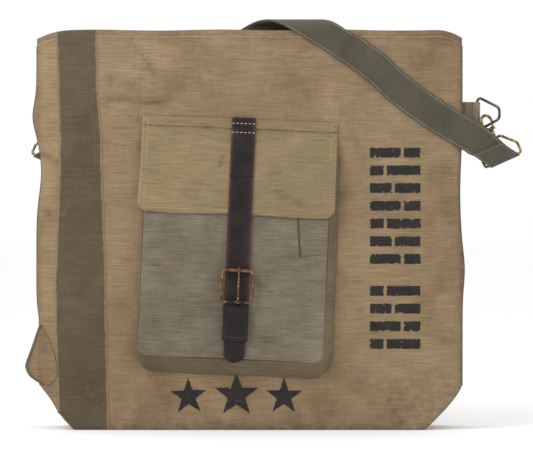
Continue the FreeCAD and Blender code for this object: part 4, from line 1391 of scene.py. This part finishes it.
hook_brass = metal_material("hook_brass", (158, 140, 92), (72, 62, 42), (206, 190, 138), rough=0.38)
hook_parts = ("_snap_hook", "_hook_gate", "_hook_eye", "_swivel_pin", "_gate_pin")
for side in ("right", "left"):
    dress(hook_brass, *[side + part for part in hook_parts])

# ---- Shoulder strap ----
# Doubled grey-olive canvas, 40 mm wide, edge-stitched in cream. From the right hook it
# climbs the front, arches over the mouth and runs down the back to the left hook. Each
# end is turned round its hook's eye and sewn back on itself.

belt_cloth = cloth_material(
    "olive_strap", (82, 79, 65), (66, 62, 49), (88, 86, 72),
    thread=0.0012, rib=0.4, streak=0.20, soil_and_shade=(54, 48, 38),
)
belt_half, belt_thick, end_layer = 0.020, 0.0028, 0.0015
belt_stand = 0.0006 + 0.0015
rim_back_x = 0.024
rim_arch = 0.011
knee_along = 0.053
back_out = Vector((0, math.cos(math.atan(back_slope)), math.sin(math.atan(back_slope))))
eyes = {side: joint_of[side + "_eye_tilt"] for side in ("right", "left")}
bars = {side: Vector(eye["pos_m"]) for side, eye in eyes.items()}
bar_lines = {side: Vector(eye["axis"]).normalized() for side, eye in eyes.items()}
rim_front = Vector((belt_rim.x, front_y - belt_stand, tall))
edge_point = Vector((belt_edge.x, rim_front.y, belt_edge.z))
run_front = (rim_front - edge_point).normalized()
across_front = run_front.cross(Vector((0, -1, 0))) * belt_half


def behind(x, z, out=belt_stand):
    """A place that stands off the leaning back panel."""
    return Vector((x, back_foot - back_slope * z, z)) + back_out * out


rim_back = behind(rim_back_x, tall)
knee_x = bars["left"].x + knee_along
knee_z = bars["left"].z + (rim_back.z - bars["left"].z) * knee_along / (rim_back.x - bars["left"].x)
knee = behind(knee_x, knee_z)
run_back = (knee - rim_back).normalized()
across_back = run_back.cross(back_out) * belt_half


def strap_end(bar, line, towards, out_hint):
    """Stations from the cut end, over the sewn part, round the bar and back under it."""
    aim = (towards - bar).normalized()
    line = line if line.dot(across_front if aim.x < 0 else across_back) > 0 else -line
    normal = aim.cross(line).normalized()
    if normal.dot(out_hint) < 0:
        normal = -normal
    wrap = 0.0029
    course = [(0.0300, 0.0046), (0.0240, 0.0046), (0.0160, 0.0044), (0.0090, 0.0040), (0.0035, 0.0033)]
    for k in range(13):
        angle = math.radians(90 + 180 * k / 12)
        course.append((math.cos(angle) * wrap, math.sin(angle) * wrap))
    course += [(0.0035, -0.0024), (0.0080, 0.0002), (0.0130, 0.0017), (0.0200, 0.0024)]
    stations = []
    for k, (a, n) in enumerate(course):
        before, after = Vector(course[max(k - 1, 0)]), Vector(course[min(k + 1, len(course) - 1)])
        run = (after - before).normalized()
        face = (normal * run.x - aim * run.y) * -1
        stations.append((bar + aim * a + normal * n, line * belt_half, face, end_layer))
    return stations


right_end = strap_end(
    bars["right"], bar_lines["right"], edge_point, Vector((0, -1, 0)),
)
left_end = strap_end(bars["left"], bar_lines["left"], knee, back_out)


def signed(stations, out):
    """Turns each station's outward direction so that the last one faces out."""
    sign = 1 if stations[-1][2].dot(out) > 0 else -1
    return [(m, h, o * sign, t) for m, h, o, t in stations]


belt_stations = signed(right_end, Vector((0, -1, 0)))
lead = belt_stations[-1]
for i in range(1, 9):
    share = i / 9
    bend = ease(0, 1, share)
    middle = lead[0].lerp(edge_point, share) + Vector((0, -0.0012, 0)) * math.sin(math.pi * share)
    belt_stations.append((
        middle, lead[1].lerp(across_front, bend).normalized() * belt_half,
        lead[2].lerp(Vector((0, -1, 0)), bend).normalized(),
        end_layer + (belt_thick - end_layer) * ease(0.3, 0.8, share),
    ))
front_length = (rim_front - edge_point).length
skew = 0.062
for i in range(61):
    share = i / 60
    at = share * front_length
    sway = 0.0034 * math.sin(math.pi * max((share - 0.52) / 0.48, 0))
    sway -= 0.0042 * math.sin(math.pi * min(share / 0.62, 1))
    sag = 0.0004 * math.sin(math.pi * share * 3)
    lean = ease(front_length - skew, front_length, at)
    half = across_front - run_front * lean * (across_front.z / run_front.z)
    middle = edge_point + run_front * at + across_front.normalized() * sway + Vector((0, -0.0004 - sag, 0))
    belt_stations.append((middle, half, Vector((0, -1, 0)), belt_thick))
half_front, half_back = belt_half / run_front.z, belt_half / -run_back.z
mid_y, reach_y = (rim_front.y + rim_back.y) / 2, (rim_back.y - rim_front.y) / 2
arch_rise = rim_arch + belt_stand
for i in range(1, 24):
    angle = math.pi * i / 24
    share = i / 24
    spot = Vector((
        rim_front.x + (rim_back.x - rim_front.x) * share,
        mid_y - reach_y * math.cos(angle),
        tall + (rim_back.z - tall) * share + arch_rise * math.sin(angle),
    ))
    out = Vector((0, -math.cos(angle) / reach_y, math.sin(angle) / arch_rise)).normalized()
    half = Vector((half_front + (half_back - half_front) * share, 0, 0))
    belt_stations.append((spot, half, out, belt_thick))
back_length = (knee - rim_back).length
for i in range(61):
    at = back_length * i / 60
    lean = 1 - ease(0, skew, at)
    half = across_back - run_back * lean * (across_back.z / run_back.z)
    belt_stations.append((rim_back + run_back * at + back_out * 0.0003, half, back_out, belt_thick))
tail = signed(left_end, back_out)[::-1]
for i in range(1, 9):
    share = i / 9
    bend = ease(0, 1, share)
    middle = knee.lerp(tail[0][0], share) + back_out * 0.0012 * math.sin(math.pi * share)
    belt_stations.append((
        middle, across_back.lerp(tail[0][1], bend).normalized() * belt_half,
        back_out.lerp(tail[0][2], bend).normalized(),
        belt_thick + (end_layer - belt_thick) * ease(0.2, 0.7, share),
    ))
belt_stations += tail
belt = sweep("shoulder_strap_sewn", belt_stations, belt_cloth)
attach(belt, "sack")
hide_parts("shoulder_strap", "right_strap_end", "left_strap_end")

belt_thread = thread_material("strap_thread", (186, 180, 150), (142, 136, 110))
belt_run, belt_cut_end = belt_stations[24:-30], belt_stations[:5]
belt_rows = []
for edge in (-0.885, 0.885):
    for face, run in ((1, belt_run), (-1, belt_run), (-1, belt_cut_end)):
        belt_rows.append([m + half * edge + out * (thick / 2 * face * 1.06) for m, half, out, thick in run])
middle, half, out, thick = belt_stations[0]
cut_end = middle + (belt_stations[1][0] - middle).normalized() * 0.0032 - out * (thick / 2 * 1.06)
belt_rows.append([cut_end + half * (-0.86 + 1.72 * k / 16) for k in range(17)])
belt_stitches = sew(
    "shoulder_strap_stitches", belt_rows, belt_thread,
    pitch=0.0034, length=0.0027, thickness=0.0006,
)
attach(belt_stitches, "sack")
